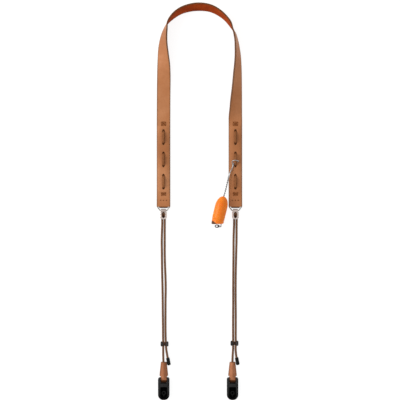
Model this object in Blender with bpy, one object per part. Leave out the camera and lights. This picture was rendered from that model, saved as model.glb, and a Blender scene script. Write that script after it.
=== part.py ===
"""Camera neck strap, lying flat on a table. Metres, +Z up.

The strap lies along Y: the arch that goes round the neck is at +Y and the two connectors at -Y.
X = 0 is midway between the legs. Y = 0 in the tables and functions below is the height of the
upper bar of both rings, and "drop" is a distance below it. At the end the whole strap is shifted
so that the world's origin is the middle of its footprint, on the table.
"""

import math

import bmesh
import bpy
import numpy as np
from mathutils import Matrix, Vector

# Gap between pieces that touch
clearance = 0.0003

# Leather band
band_width = 0.0230
leather = 0.0016
lining = 0.0008
leg_spacing = 0.1220
flap_length = 0.1460
arch_height = 0.1881
fold_notch_width = 0.0042
fold_notch_turns = (69, 74)
fold_rise_length = 0.0160
layer_blend = 0.0120

# Lacing down each leg
lace_height = 0.0017
lace_loop_width = 0.0048
lace_loop_height = 0.0034
lace_first = 0.0417
lace_pitch = 0.0378
lace_span = 0.0212
lace_hole_width = 0.0039
lace_hole_length = 0.0058
lace_raise = 0.0023

# Metal ring and cord eye
ring_wire = 0.0020
ring_half_width = 0.0113
ring_drop = 0.0072
knuckle_radius = 0.0029
knuckle_width = 0.0084
eye_width = 0.0112
eye_wall = 0.0010
eye_depth = 0.0149
eye_corner = 0.0036
window_width = 0.0060
window_rim = 0.0021

# Cord, slider and end bead
cord_diameter = 0.0038
strand_spacing = 0.0046
lock_drop = {"left": 0.2334, "right": 0.2323}
lock_spacing = 0.0045
lock_width = 0.0134
lock_lobe = 0.0043
lock_waist = 0.0036
bead_length = 0.0128
bead_radius = 0.0031
bead_neck = 0.0029

# Leather tab and connector
tab_leather = 0.0015
tab_drop = 0.2643
tab_top_width = 0.0098
tab_wide = 0.0145
tab_wide_drop = 0.2860
tab_shoulder_drop = 0.2884
tongue_width = 0.0110
hinge_drop = 0.2961
hinge_pin = 0.0025
connector_width = 0.0194
connector_thickness = 0.0090
connector_foot = 0.0325
horn_length = 0.0060
horn_corner = 0.0034
notch_depth = 0.0040
ledge_height = 0.0030
pocket_width = 0.0118
pocket_corner = 0.0012
pocket_top = 0.0098
pocket_foot = 0.0289
pocket_floor = 0.0020
seat_drop = 0.0207
seat_radius = 0.0037
seat_hole = 0.0018
seat_height = 0.0022
seat_stem = 0.0021

# Capsule on its wire
capsule_radius = 0.0106
capsule_length = 0.0470
capsule_foot = (0.0298, -0.0289)
capsule_lean = math.radians(13.8)
capsule_bore = 0.0016
wire_twisted = 0.0024
wire_single = 0.0013
hook_wire = 0.0010
keyring_radius = 0.0032
keyring_wire = 0.0013
keyring_tilt = math.radians(48)

# Worked out from the sizes above
fold_inner = ring_wire / 2 + clearance
fold_outer = fold_inner + leather
ring_height = fold_outer
crown = lace_height + clearance
outer_half = leg_spacing / 2 + band_width / 2
leg_axis = {"left": -leg_spacing / 2, "right": leg_spacing / 2}
lace_centres = [lace_first + i * lace_pitch for i in range(3)]
hinge_height = connector_thickness / 2
lock_axis = {"left": -0.0592, "right": 0.0594}
tab_axis = {"left": -0.0605, "right": 0.0561}

# The band's outer face along its lower edge, from the top of a leg to the top of the arch.
# Columns: x as a share of outer_half, y as a share of arch_height above the leg's top, and the
# lean in degrees: 0 lies flat with the outer face up, 90 stands on edge, more leans outward.
left_arch = [
    (-1.000, 0.000, 0),
    (-0.998, 0.180, 0),
    (-0.995, 0.340, 4),
    (-0.989, 0.500, 22),
    (-0.981, 0.575, 36),
    (-0.968, 0.650, 47),
    (-0.936, 0.722, 58),
    (-0.890, 0.785, 67),
    (-0.840, 0.830, 75),
    (-0.777, 0.872, 86),
    (-0.610, 0.930, 100),
    (-0.446, 0.968, 106),
    (-0.222, 0.993, 111),
    (0.000, 1.000, 113),
]
right_arch = [
    (1.000, 0.000, 2),
    (1.001, 0.072, 20),
    (1.001, 0.181, 33),
    (1.000, 0.271, 43),
    (0.998, 0.361, 50),
    (0.995, 0.434, 55),
    (0.988, 0.505, 61),
    (0.976, 0.577, 66),
    (0.950, 0.650, 71),
    (0.912, 0.722, 77),
    (0.850, 0.794, 82),
    (0.795, 0.826, 87),
    (0.733, 0.857, 95),
    (0.604, 0.913, 100),
    (0.472, 0.951, 104),
    (0.269, 0.988, 109),
]

# Routes of the two cords, each from its end inside the tab up to the eye and back to the bead,
# in metres: x, y, z. Chosen by hand.
cord_routes = {
    "left": [
        (-0.0609, -0.2840, 0.0037),
        (-0.0610, -0.2740, 0.0037),
        (-0.0611, -0.2640, 0.0037),
        (-0.0614, -0.2540, 0.0039),
        (-0.0615, -0.2430, 0.0042),
        (-0.0614, -0.2335, 0.0043),
        (-0.0617, -0.2220, 0.0039),
        (-0.0619, -0.2040, 0.0023),
        (-0.0622, -0.1820, 0.0020),
        (-0.0624, -0.1600, 0.0020),
        (-0.0627, -0.1390, 0.0020),
        (-0.0632, -0.1190, 0.0020),
        (-0.0636, -0.0980, 0.0020),
        (-0.0638, -0.0780, 0.0020),
        (-0.0640, -0.0580, 0.0020),
        (-0.0635, -0.0400, 0.0022),
        (-0.0631, -0.0280, 0.0030),
        (-0.0632, -0.0200, 0.0032),
        (-0.0633, -0.0140, 0.0032),
        (-0.0626, -0.0124, 0.0032),
        (-0.0610, -0.0117, 0.0032),
        (-0.0594, -0.0124, 0.0032),
        (-0.0587, -0.0140, 0.0032),
        (-0.0588, -0.0200, 0.0032),
        (-0.0589, -0.0280, 0.0030),
        (-0.0590, -0.0400, 0.0022),
        (-0.0590, -0.0580, 0.0020),
        (-0.0590, -0.0780, 0.0020),
        (-0.0586, -0.0980, 0.0020),
        (-0.0577, -0.1190, 0.0020),
        (-0.0573, -0.1390, 0.0020),
        (-0.0576, -0.1600, 0.0020),
        (-0.0577, -0.1820, 0.0020),
        (-0.0577, -0.2040, 0.0023),
        (-0.0574, -0.2220, 0.0039),
        (-0.0570, -0.2335, 0.0043),
        (-0.0562, -0.2430, 0.0042),
        (-0.0546, -0.2530, 0.0036),
        (-0.0529, -0.2620, 0.0032),
    ],
    "right": [
        (0.0559, -0.2840, 0.0037),
        (0.0559, -0.2740, 0.0037),
        (0.0560, -0.2640, 0.0037),
        (0.0563, -0.2540, 0.0039),
        (0.0570, -0.2430, 0.0042),
        (0.0572, -0.2323, 0.0043),
        (0.0571, -0.2210, 0.0039),
        (0.0571, -0.2030, 0.0023),
        (0.0572, -0.1810, 0.0020),
        (0.0573, -0.1600, 0.0020),
        (0.0573, -0.1390, 0.0020),
        (0.0574, -0.1190, 0.0020),
        (0.0576, -0.0980, 0.0020),
        (0.0578, -0.0780, 0.0020),
        (0.0579, -0.0580, 0.0020),
        (0.0584, -0.0400, 0.0022),
        (0.0589, -0.0280, 0.0030),
        (0.0588, -0.0200, 0.0032),
        (0.0587, -0.0140, 0.0032),
        (0.0594, -0.0124, 0.0032),
        (0.0610, -0.0117, 0.0032),
        (0.0626, -0.0124, 0.0032),
        (0.0633, -0.0140, 0.0032),
        (0.0632, -0.0200, 0.0032),
        (0.0631, -0.0280, 0.0030),
        (0.0630, -0.0400, 0.0022),
        (0.0629, -0.0580, 0.0020),
        (0.0624, -0.0780, 0.0020),
        (0.0619, -0.0980, 0.0020),
        (0.0615, -0.1190, 0.0020),
        (0.0614, -0.1390, 0.0020),
        (0.0614, -0.1600, 0.0020),
        (0.0616, -0.1810, 0.0020),
        (0.0616, -0.2030, 0.0023),
        (0.0615, -0.2210, 0.0039),
        (0.0616, -0.2323, 0.0043),
        (0.0614, -0.2430, 0.0042),
        (0.0623, -0.2530, 0.0036),
        (0.0639, -0.2615, 0.0032),
    ],
}

# Colour, roughness and metallic value of each material
finishes = {
    "band_leather": ((0.46, 0.22, 0.11), 0.55, 0.0),
    "suede": ((0.23, 0.05, 0.015), 0.85, 0.0),
    "lacing_leather": ((0.22, 0.10, 0.05), 0.60, 0.0),
    "tab_leather": ((0.58, 0.26, 0.10), 0.50, 0.0),
    "metal": ((0.74, 0.68, 0.66), 0.30, 1.0),
    "cord": ((0.15, 0.09, 0.06), 0.70, 0.0),
    "black_plastic": ((0.022, 0.022, 0.024), 0.42, 0.0),
    "orange_plastic": ((0.90, 0.21, 0.03), 0.30, 0.0),
    "wire": ((0.60, 0.60, 0.61), 0.28, 1.0),
}


def clear_scene():
    for old in list(bpy.data.objects):
        bpy.data.objects.remove(old, do_unlink=True)


def material(name):
    found = bpy.data.materials.get(name)
    if found:
        return found
    colour, roughness, metallic = finishes[name]
    made = bpy.data.materials.new(name)
    made.use_nodes = True
    shader = made.node_tree.nodes["Principled BSDF"]
    shader.inputs["Base Color"].default_value = (*colour, 1.0)
    shader.inputs["Roughness"].default_value = roughness
    shader.inputs["Metallic"].default_value = metallic
    return made


def smoothstep(start, end, value):
    share = min(max((value - start) / (end - start), 0.0), 1.0)
    return share * share * (3.0 - 2.0 * share)


def slopes_at(rows, knots):
    """The slope of each column at each row, from the rows beside it."""
    steps = np.diff(knots)[:, None]
    chords = np.diff(rows, axis=0) / steps
    inner = (chords[:-1] * steps[1:] + chords[1:] * steps[:-1]) / (steps[1:] + steps[:-1])
    return np.vstack([chords[:1], inner, chords[-1:]])


def curve_point(rows, knots, slopes, segment, share):
    length = knots[segment + 1] - knots[segment]
    s2 = share * share
    s3 = s2 * share
    return (
        (2 * s3 - 3 * s2 + 1) * rows[segment]
        + (s3 - 2 * s2 + share) * length * slopes[segment]
        + (3 * s2 - 2 * s3) * rows[segment + 1]
        + (s3 - s2) * length * slopes[segment + 1]
    )


def smooth_rows(rows, step, turn=25.0, place=3):
    """Rows along a smooth curve through the given ones, a step apart, and closer in a bend.

    The first columns, as many as place says, are a position. The others change along with it.
    """
    rows = np.array(rows, dtype=float)
    lengths = np.linalg.norm(np.diff(rows[:, :place], axis=0), axis=1)
    knots = np.concatenate([[0.0], np.cumsum(lengths)])
    slopes = slopes_at(rows, knots)
    headings = slopes[:, :place] / np.linalg.norm(slopes[:, :place], axis=1)[:, None]
    made = [rows[0]]
    for segment, length in enumerate(lengths):
        cosine = float(np.clip(np.dot(headings[segment], headings[segment + 1]), -1.0, 1.0))
        bend = math.degrees(math.acos(cosine))
        count = max(1, math.ceil(length / step), math.ceil(bend / turn))
        for i in range(1, count + 1):
            made.append(curve_point(rows, knots, slopes, segment, i / count))
    return made


def add_object(name, mesh, colour, parent, location=(0, 0, 0), rotation=(0, 0, 0)):
    made = bpy.data.objects.new(name, mesh)
    bpy.context.scene.collection.objects.link(made)
    made.parent = parent
    made.location = location
    made.rotation_euler = rotation
    mesh.materials.clear()
    mesh.materials.append(material(colour))
    return made


def mesh_from(name, shape, crease_degrees=35.0):
    """A mesh from a bmesh, with its faces turned outward and its round stretches smooth."""
    bmesh.ops.recalc_face_normals(shape, faces=shape.faces)
    mesh = bpy.data.meshes.new(name)
    shape.to_mesh(mesh)
    shape.free()
    mesh.shade_smooth()
    mesh.set_sharp_from_angle(angle=math.radians(crease_degrees))
    return mesh


def loft(name, sections, closed=False, crease_degrees=35.0, strip=False):
    """One closed body through sections that have equally many points each.

    The faces of a strip are split alike on both its sides, so that layers nest where it twists.
    """
    shape = bmesh.new()
    rings = [[shape.verts.new(point) for point in section] for section in sections]
    count = len(rings[0])
    pairs = list(zip(rings, rings[1:]))
    if closed:
        pairs.append((rings[-1], rings[0]))
    for low, high in pairs:
        for i in range(count):
            a, b, c, d = low[i], low[(i + 1) % count], high[(i + 1) % count], high[i]
            if not strip:
                shape.faces.new((a, b, c, d))
            elif i < count // 2:
                shape.faces.new((a, b, c))
                shape.faces.new((a, c, d))
            else:
                shape.faces.new((a, b, d))
                shape.faces.new((b, c, d))
    if not closed:
        shape.faces.new(rings[0][::-1])
        shape.faces.new(rings[-1])
    return mesh_from(name, shape, crease_degrees)


def sweep(name, centres, halves, sides, first_side, closed=False):
    """A bar of elliptical section along centres. Each of halves is (sideways, upward)."""
    points = [Vector(c) for c in centres]
    count = len(points)
    side = Vector(first_side)
    sections = []
    for i, point in enumerate(points):
        before = points[(i - 1) % count] if closed or i > 0 else point
        after = points[(i + 1) % count] if closed or i < count - 1 else point
        along = (after - before).normalized()
        side = (side - along * side.dot(along)).normalized()
        upward = along.cross(side)
        half_side, half_up = halves[i]
        sections.append([
            point + side * half_side * math.cos(a) + upward * half_up * math.sin(a)
            for a in (2 * math.pi * k / sides for k in range(sides))
        ])
    return loft(name, sections, closed, 60.0)


def turned(name, profile, sides):
    """A body turned about Z from (radius, height) rows that start and end on the axis."""
    shape = bmesh.new()
    rings = []
    for radius, height in profile:
        if radius == 0:
            rings.append([shape.verts.new((0, 0, height))])
            continue
        angles = [2 * math.pi * k / sides for k in range(sides)]
        rings.append([
            shape.verts.new((radius * math.cos(a), radius * math.sin(a), height)) for a in angles
        ])
    for low, high in zip(rings, rings[1:]):
        for i in range(sides):
            corners = [low[i % len(low)], low[(i + 1) % len(low)]]
            corners += [high[(i + 1) % len(high)], high[i % len(high)]]
            shape.faces.new(list(dict.fromkeys(corners)))
    return mesh_from(name, shape, 40.0)


def outline_block(name, outline, low, high):
    """An outline in X and Y, raised from low to high."""
    return loft(name, [[(x, y, low) for x, y in outline], [(x, y, high) for x, y in outline]])


def rounded_rectangle(x0, y0, x1, y1, radii, steps=3):
    """Corners in the order low left, low right, high right, high left, each with its radius."""
    corners = [(x0, y0, 180, 1, 1), (x1, y0, 270, -1, 1), (x1, y1, 0, -1, -1), (x0, y1, 90, 1, -1)]
    points = []
    for (x, y, start, sx, sy), radius in zip(corners, radii):
        for i in range(steps + 1):
            a = math.radians(start + 90 * i / steps)
            points.append((
                x + sx * radius + radius * math.cos(a),
                y + sy * radius + radius * math.sin(a),
            ))
    return points


def ellipse(x, y, half_x, half_y, sides):
    angles = [2 * math.pi * k / sides for k in range(sides)]
    return [(x + half_x * math.cos(a), y + half_y * math.sin(a)) for a in angles]


def rod_along_x(name, y, z, radius, half_length, sides=12):
    def section(x):
        angles = [2 * math.pi * (k + 0.5) / sides for k in range(sides)]
        return [(x, y + radius * math.cos(a), z + radius * math.sin(a)) for a in angles]

    return loft(name, [section(-half_length), section(half_length)])


def joined(name, meshes):
    """Separate bodies in one mesh, for use as a cutter."""
    shape = bmesh.new()
    for mesh in meshes:
        shape.from_mesh(mesh)
        bpy.data.meshes.remove(mesh)
    return mesh_from(name, shape)


def combined(name, base, steps, crease_degrees=35.0):
    """The base mesh after Boolean steps, each an operation and the mesh that it uses."""
    body = bpy.data.objects.new(name + "_base", base)
    bpy.context.scene.collection.objects.link(body)
    helpers = [body]
    for operation, mesh in steps:
        helper = bpy.data.objects.new(name + "_cutter", mesh)
        bpy.context.scene.collection.objects.link(helper)
        helper.hide_render = True
        helper.display_type = "WIRE"
        step = body.modifiers.new(operation.lower(), "BOOLEAN")
        step.operation = operation
        step.object = helper
        helpers.append(helper)
    bpy.context.view_layer.update()
    graph = bpy.context.evaluated_depsgraph_get()
    mesh = bpy.data.meshes.new_from_object(body.evaluated_get(graph))
    mesh.name = name
    for helper in helpers:
        used = helper.data
        bpy.data.objects.remove(helper, do_unlink=True)
        bpy.data.meshes.remove(used)
    mesh.shade_smooth()
    mesh.set_sharp_from_angle(angle=math.radians(crease_degrees))
    return mesh


# The band. A station is a cut across the strip: the corner of its outer face at the leg's outer
# edge, the direction across, the outer face's normal, the notch at each edge and the crown.
band_columns = [(-0.50, 0.0), (-0.27, 0.80), (0.00, 1.0), (0.27, 0.80), (0.50, 0.0)]


def strip_section(station, columns, width, thickness):
    corner, across, normal, notch, crown_here = station
    middle = corner + across * (width / 2)
    outer = []
    for share, lift in columns:
        sideways = share * (width - 2 * notch)
        outer.append(middle + across * sideways + normal * (lift * crown_here))
    inner = [point - normal * thickness for point in reversed(outer)]
    return outer + inner


def leg_gap(y):
    """Gap between the flap and the outer layer at the band's edges, at a height on the leg."""
    return clearance + (2 * fold_inner - clearance) * (1.0 - smoothstep(0.001, fold_rise_length, y))


def leg_crown(y):
    """How far the lacing lifts the middle of the outer layer."""
    reach = lace_span / 2 + 0.005
    low = lace_centres[0] - reach
    high = lace_centres[-1] + reach
    return crown * smoothstep(low - 0.007, low, y) * (1.0 - smoothstep(high, high + 0.007, y))


def leg_heights():
    """Heights of the outer layer's stations above the fold, closer together where it bends."""
    low = lace_centres[0] - lace_span / 2 - 0.005
    high = lace_centres[-1] + lace_span / 2 + 0.005
    bends = [0.004, 0.007, 0.010, 0.013, fold_rise_length]
    low_rise = [low - 0.005, low - 0.0035, low - 0.002, low]
    count = round((high - low) / 0.012)
    level = [low + (high - low) * i / count for i in range(1, count)]
    high_fall = [high, high + 0.002, high + 0.0035, high + 0.005, high + 0.007]
    return bends + low_rise + level + high_fall


def leg_stations(side):
    """From the flap's free end down to the fold, round the ring and up the outer layer."""
    sign = -1.0 if side == "left" else 1.0
    edge = sign * outer_half
    across = Vector((-sign, 0.0, 0.0))
    stations = [(Vector((edge, flap_length, 0.0)), across, Vector((0, 0, -1)), 0.0, 0.0)]
    cut, whole = fold_notch_turns
    for degrees in (-90, -whole, -cut, -45, -15, 15, 45, cut, whole, 90):
        a = math.radians(degrees)
        normal = Vector((0.0, -math.cos(a), math.sin(a)))
        corner = Vector((edge, 0.0, ring_height)) + normal * fold_outer
        notch = fold_notch_width if abs(degrees) <= cut else 0.0
        stations.append((corner, across, normal, notch, 0.0))
    for y in leg_heights():
        corner = Vector((edge, y, leather + leg_gap(y) + leather))
        stations.append((corner, across, Vector((0, 0, 1)), 0.0, leg_crown(y)))
    return stations


def arch_rows():
    """The arch's tables as x, y and lean, from the left leg's top over to the right one's."""
    table = left_arch + right_arch[::-1]
    return [(x * outer_half, flap_length + y * arch_height, lean) for x, y, lean in table]


def arch_stations():
    """Each station along the arch, and its distance from the nearer leg."""
    rows = smooth_rows(arch_rows(), 0.009, 12.0, 2)
    places = [Vector((row[0], row[1], 0.0)) for row in rows]
    stations = []
    travelled = 0.0
    lengths = [(b - a).length for a, b in zip(places, places[1:])]
    total = sum(lengths)
    for i, row in enumerate(rows):
        before = places[max(i - 1, 0)]
        after = places[min(i + 1, len(places) - 1)]
        along = (after - before).normalized()
        inward = Vector((along.y, -along.x, 0.0))
        lean = math.radians(max(row[2], 0.0))
        across = inward * math.cos(lean) + Vector((0, 0, math.sin(lean)))
        normal = -inward * math.sin(lean) + Vector((0, 0, math.cos(lean)))
        from_leg = min(travelled, total - travelled)
        over_flap = 1.0 - smoothstep(0.002, layer_blend, from_leg)
        depth = leather + clearance + lining + (leather - lining) * over_flap
        corner = places[i] + Vector((0, 0, max(depth * math.cos(lean), 0.0)))
        stations.append((corner, across, normal, from_leg))
        if i < len(lengths):
            travelled += lengths[i]
    return stations


def lace_holes(side):
    """Slots through the outer layer. Half of each lies under the loop that comes out of it."""
    above_all = leather + clearance + 2 * leather + 3 * crown
    cutters = []
    for centre in lace_centres:
        for end in (-1, 1):
            middle = centre + end * (lace_span / 2 - 0.0004)
            outline = ellipse(leg_axis[side], middle, lace_hole_width / 2, lace_hole_length / 2, 10)
            cutters.append(outline_block("hole", outline, leather + clearance, above_all))
    return cutters


def build_band(parent):
    left = leg_stations("left")
    right = leg_stations("right")[::-1]
    arch = [(corner, across, normal, 0.0, 0.0) for corner, across, normal, _ in arch_stations()]
    sections = [
        strip_section(station, band_columns, band_width, leather) for station in left + arch + right
    ]
    strip = loft("neck_band", sections, strip=True)
    holes = joined("lace_holes", lace_holes("left") + lace_holes("right"))
    add_object(
        "neck_band", combined("neck_band", strip, [("DIFFERENCE", holes)]), "band_leather", parent
    )


def build_lining(parent):
    """The lining under the band, from the end of one flap to the end of the other."""
    sections = []
    for corner, across, normal, from_leg in arch_stations():
        face = corner - normal * (leather + clearance)
        if from_leg < clearance:
            face.y += clearance
        station = (face, across, normal, 0.0, 0.0)
        sections.append(strip_section(station, band_columns, band_width, lining))
    add_object("band_lining", loft("band_lining", sections, strip=True), "suede", parent)


def lace_rows(raised):
    """The lace's y, z, width and height, from its upper end down. raised holds the lifted loop."""
    inside = leather + clearance + lace_height / 2
    in_leather = leather + clearance + crown + leather / 2
    surface = leather + clearance + crown + leather
    half = lace_span / 2
    rows = []
    for number, centre in reversed(list(enumerate(lace_centres))):
        lift = lace_raise if number == raised else 0.0
        top = surface + clearance + lace_loop_height / 2 + lift
        shoulder = surface + clearance + 0.45 * lace_loop_height + 0.6 * lift
        above = [
            (half - 0.0005, in_leather + 0.0003, 0.0028, 0.0016),
            (half - 0.0020, surface + 0.0011, 0.0032, 0.0018),
            (half - 0.0048, shoulder, 0.0040, 0.0026),
        ]
        below = [
            (half + 0.0042, inside, 0.0036, lace_height),
            (half + 0.0026, inside, 0.0034, 0.0016),
            (half + 0.0009, inside + 0.0007, 0.0030, 0.0016),
        ]
        going_down = below + above
        rows += [(centre + dy, z, width, height) for dy, z, width, height in going_down]
        rows.append((centre, top, lace_loop_width, lace_loop_height))
        rows += [(centre - dy, z, width, height) for dy, z, width, height in going_down[::-1]]
    return rows


def build_lacing(parent):
    for side in ("left", "right"):
        raised = 1 if side == "right" else None
        rows = smooth_rows(lace_rows(raised), 0.0060, 30.0, 2)
        centres = [(leg_axis[side], y, z) for y, z, _, _ in rows]
        halves = [(width / 2, height / 2) for _, _, width, height in rows]
        mesh = sweep("lacing_" + side, centres, halves, 8, (1, 0, 0))
        add_object("lacing_" + side, mesh, "lacing_leather", parent)


def ring_centreline():
    """The ring's wire, round its four corners, with its upper bar at y = 0."""
    foot = knuckle_width / 2 + clearance + 0.0012
    corners = [(-ring_half_width, 0.0), (ring_half_width, 0.0), (foot, -ring_drop), (-foot, -ring_drop)]
    points = []
    for i, corner in enumerate(corners):
        here = Vector(corner)
        back = (Vector(corners[i - 1]) - here).normalized()
        ahead = (Vector(corners[(i + 1) % 4]) - here).normalized()
        opening = back.angle(ahead)
        radius = 0.0013
        reach = radius / math.tan(opening / 2)
        centre = here + (back + ahead).normalized() * (radius / math.sin(opening / 2))
        start = here + back * reach - centre
        turn = math.pi - opening
        for k in range(4):
            spun = Matrix.Rotation(-turn * k / 3, 2) @ start
            points.append((centre.x + spun.x, centre.y + spun.y, 0.0))
    return points


def build_rings(parent):
    points = ring_centreline()
    halves = [(ring_wire / 2, ring_wire / 2)] * len(points)
    mesh = sweep("ring", points, halves, 8, (0, 0, 1), closed=True)
    for side in ("left", "right"):
        add_object("ring_" + side, mesh, "metal", parent, (leg_axis[side], 0, ring_height))


def eye_mesh():
    """The eye about its ring's axis: a knuckle on the ring and a hollow body, open below."""
    half = eye_width / 2
    foot = -ring_drop - eye_depth
    body_top = -ring_drop - fold_inner
    thickness = 2 * eye_wall + cord_diameter + 2 * clearance
    body = outline_block(
        "eye_body",
        rounded_rectangle(-half, foot, half, body_top, (eye_corner, eye_corner, 0.0016, 0.0016)),
        0.0,
        thickness,
    )
    knuckle = rod_along_x("knuckle", -ring_drop, ring_height, knuckle_radius, knuckle_width / 2)
    bore = rod_along_x("bore", -ring_drop, ring_height, fold_inner, eye_width)
    hollow_half = (strand_spacing + cord_diameter) / 2 + clearance + 0.0001
    hollow_top = -ring_drop - fold_inner - eye_wall
    hollow_radii = (0.0001, 0.0001, 0.0008, 0.0008)
    hollow = outline_block(
        "hollow",
        rounded_rectangle(-hollow_half, foot - 0.001, hollow_half, hollow_top, hollow_radii),
        eye_wall,
        thickness - eye_wall,
    )
    window_low = foot + window_rim
    window_high = hollow_top + 0.0001
    window = outline_block(
        "window",
        ellipse(
            0.0,
            (window_low + window_high) / 2,
            window_width / 2,
            (window_high - window_low) / 2,
            16,
        ),
        thickness / 2,
        thickness + 0.001,
    )
    return combined("cord_eye", body, [
        ("UNION", knuckle),
        ("DIFFERENCE", bore),
        ("DIFFERENCE", hollow),
        ("DIFFERENCE", window),
    ])


def build_eyes(parent):
    mesh = eye_mesh()
    for side in ("left", "right"):
        add_object("cord_eye_" + side, mesh, "metal", parent, (leg_axis[side], 0, 0))


def build_cords(parent):
    for side, route in cord_routes.items():
        line = smooth_rows(route, 0.0125, 28.0, 3)
        data = bpy.data.curves.new("cord_" + side, "CURVE")
        data.dimensions = "3D"
        data.bevel_depth = cord_diameter / 2
        data.bevel_resolution = 2
        data.use_fill_caps = True
        spline = data.splines.new("POLY")
        spline.points.add(len(line) - 1)
        for point, place in zip(spline.points, line):
            point.co = (*place, 1.0)
        add_object("cord_" + side, data, "cord", parent)


def lock_mesh():
    """A spool across the two strands, with a slot for them through its waist."""
    half = lock_width / 2
    rise = [(0.0, 1.00), (0.62, 1.00), (0.90, 0.92), (1.0, 0.76), (0.94, 0.60)]
    profile = [(lock_lobe * radius, -half * x) for radius, x in rise]
    profile.append((lock_waist, -0.44 * half))
    profile += [(radius, -x) for radius, x in profile[::-1]]
    spool = turned("spool", profile, 16)
    spool.transform(Matrix.Rotation(math.pi / 2, 4, "Y"))
    bore = cord_diameter / 2 + clearance
    reach = lock_spacing / 2
    outline = []
    for k in range(14):
        a = math.radians(-90 + 180 * (k % 7) / 6 + (0 if k < 7 else 180))
        shift = reach if k < 7 else -reach
        outline.append((shift + bore * math.cos(a), bore * math.sin(a)))
    slot = loft("slot", [[(x, y, z) for x, z in outline] for y in (-2 * lock_lobe, 2 * lock_lobe)])
    return combined("cord_lock", spool, [("DIFFERENCE", slot)])


def build_locks(parent):
    mesh = lock_mesh()
    for side in ("left", "right"):
        place = (lock_axis[side], -lock_drop[side], lock_lobe)
        add_object("cord_lock_" + side, mesh, "black_plastic", parent, place)


def build_beads(parent):
    """The tapered bead on each cord's free end, in line with the cord's last stretch."""
    bore = cord_diameter / 2 + clearance
    depth = 0.0052
    length = bead_length
    profile = [
        (0.0, depth),
        (bore, depth),
        (bore, 0.0),
        (bead_neck - 0.0003, 0.0),
        (bead_neck, 0.0006),
        (0.97 * bead_radius, 0.45 * length),
        (bead_radius, 0.80 * length),
        (0.90 * bead_radius, 0.93 * length),
        (0.62 * bead_radius, length),
        (0.0, length),
    ]
    mesh = turned("cord_end", profile, 12)
    for side, route in cord_routes.items():
        end = Vector(route[-1])
        heading = end - Vector(route[-2])
        heading.z = 0.0
        heading.normalize()
        mouth = end - heading * (depth - clearance)
        turn = heading.to_track_quat("Z", "Y").to_euler()
        place = (mouth.x, mouth.y, bead_radius)
        add_object("cord_end_" + side, mesh, "black_plastic", parent, place, turn)


def tab_columns(width):
    """Places across the tab and how much of the bulge over the cord each one carries."""
    reach = cord_diameter / 2 + clearance
    shares = [(-1.55, 0.40), (-0.76, 0.91), (0.0, 1.0), (0.76, 0.91), (1.55, 0.40)]
    columns = [(place * reach / width, lift) for place, lift in shares]
    return [(-0.5, 0.0)] + columns + [(0.5, 0.0)]


def tab_layer(y):
    """Half the tab's width, the height of its middle plane, half the gap and the bulge at y."""
    drop = -y
    widening = min((drop - tab_drop) / (tab_wide_drop - tab_drop), 1.0)
    width = tab_top_width + (tab_wide - tab_top_width) * widening
    if drop > tab_shoulder_drop - 0.0001:
        width = tongue_width
    near_hinge = smoothstep(tab_wide_drop, hinge_drop, drop)
    pin_gap = hinge_pin / 2 + clearance
    half_gap = clearance / 2 + (pin_gap - clearance / 2) * near_hinge
    low = (hinge_height - pin_gap - tab_leather) * near_hinge
    middle = low + tab_leather + half_gap
    bulge = (cord_diameter + clearance) * (1.0 - near_hinge)
    return width, middle, half_gap, bulge


def build_tabs(parent):
    """A strip from the cord down over the connector's bar, round it and back up beneath."""
    shoulder = tab_shoulder_drop
    drops = [
        tab_drop,
        tab_drop + 0.30 * (tab_wide_drop - tab_drop),
        tab_drop + 0.70 * (tab_wide_drop - tab_drop),
        tab_wide_drop,
        shoulder - 0.0006,
        shoulder,
        shoulder + 0.30 * (hinge_drop - shoulder),
        shoulder + 0.65 * (hinge_drop - shoulder),
    ]
    pin_gap = hinge_pin / 2 + clearance
    across = Vector((1, 0, 0))
    sections = []
    for drop in drops:
        width, middle, half_gap, bulge = tab_layer(-drop)
        corner = Vector((-width / 2, -drop, middle + half_gap + tab_leather))
        station = (corner, across, Vector((0, 0, 1)), 0.0, bulge)
        sections.append(strip_section(station, tab_columns(width), width, tab_leather))
    for i in range(9):
        a = math.radians(90 - 180 * i / 8)
        normal = Vector((0.0, -math.cos(a), math.sin(a)))
        corner = Vector((-tongue_width / 2, -hinge_drop, hinge_height))
        corner += normal * (pin_gap + tab_leather)
        station = (corner, across, normal, 0.0, 0.0)
        sections.append(strip_section(station, tab_columns(tongue_width), tongue_width, tab_leather))
    for drop in drops[::-1]:
        width, middle, half_gap, _ = tab_layer(-drop)
        corner = Vector((-width / 2, -drop, middle - half_gap - tab_leather))
        station = (corner, across, Vector((0, 0, -1)), 0.0, 0.0)
        sections.append(strip_section(station, tab_columns(width), width, tab_leather))
    mesh = loft("tab", sections)
    for side in ("left", "right"):
        add_object("tab_" + side, mesh, "tab_leather", parent, (tab_axis[side], 0, 0))


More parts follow.
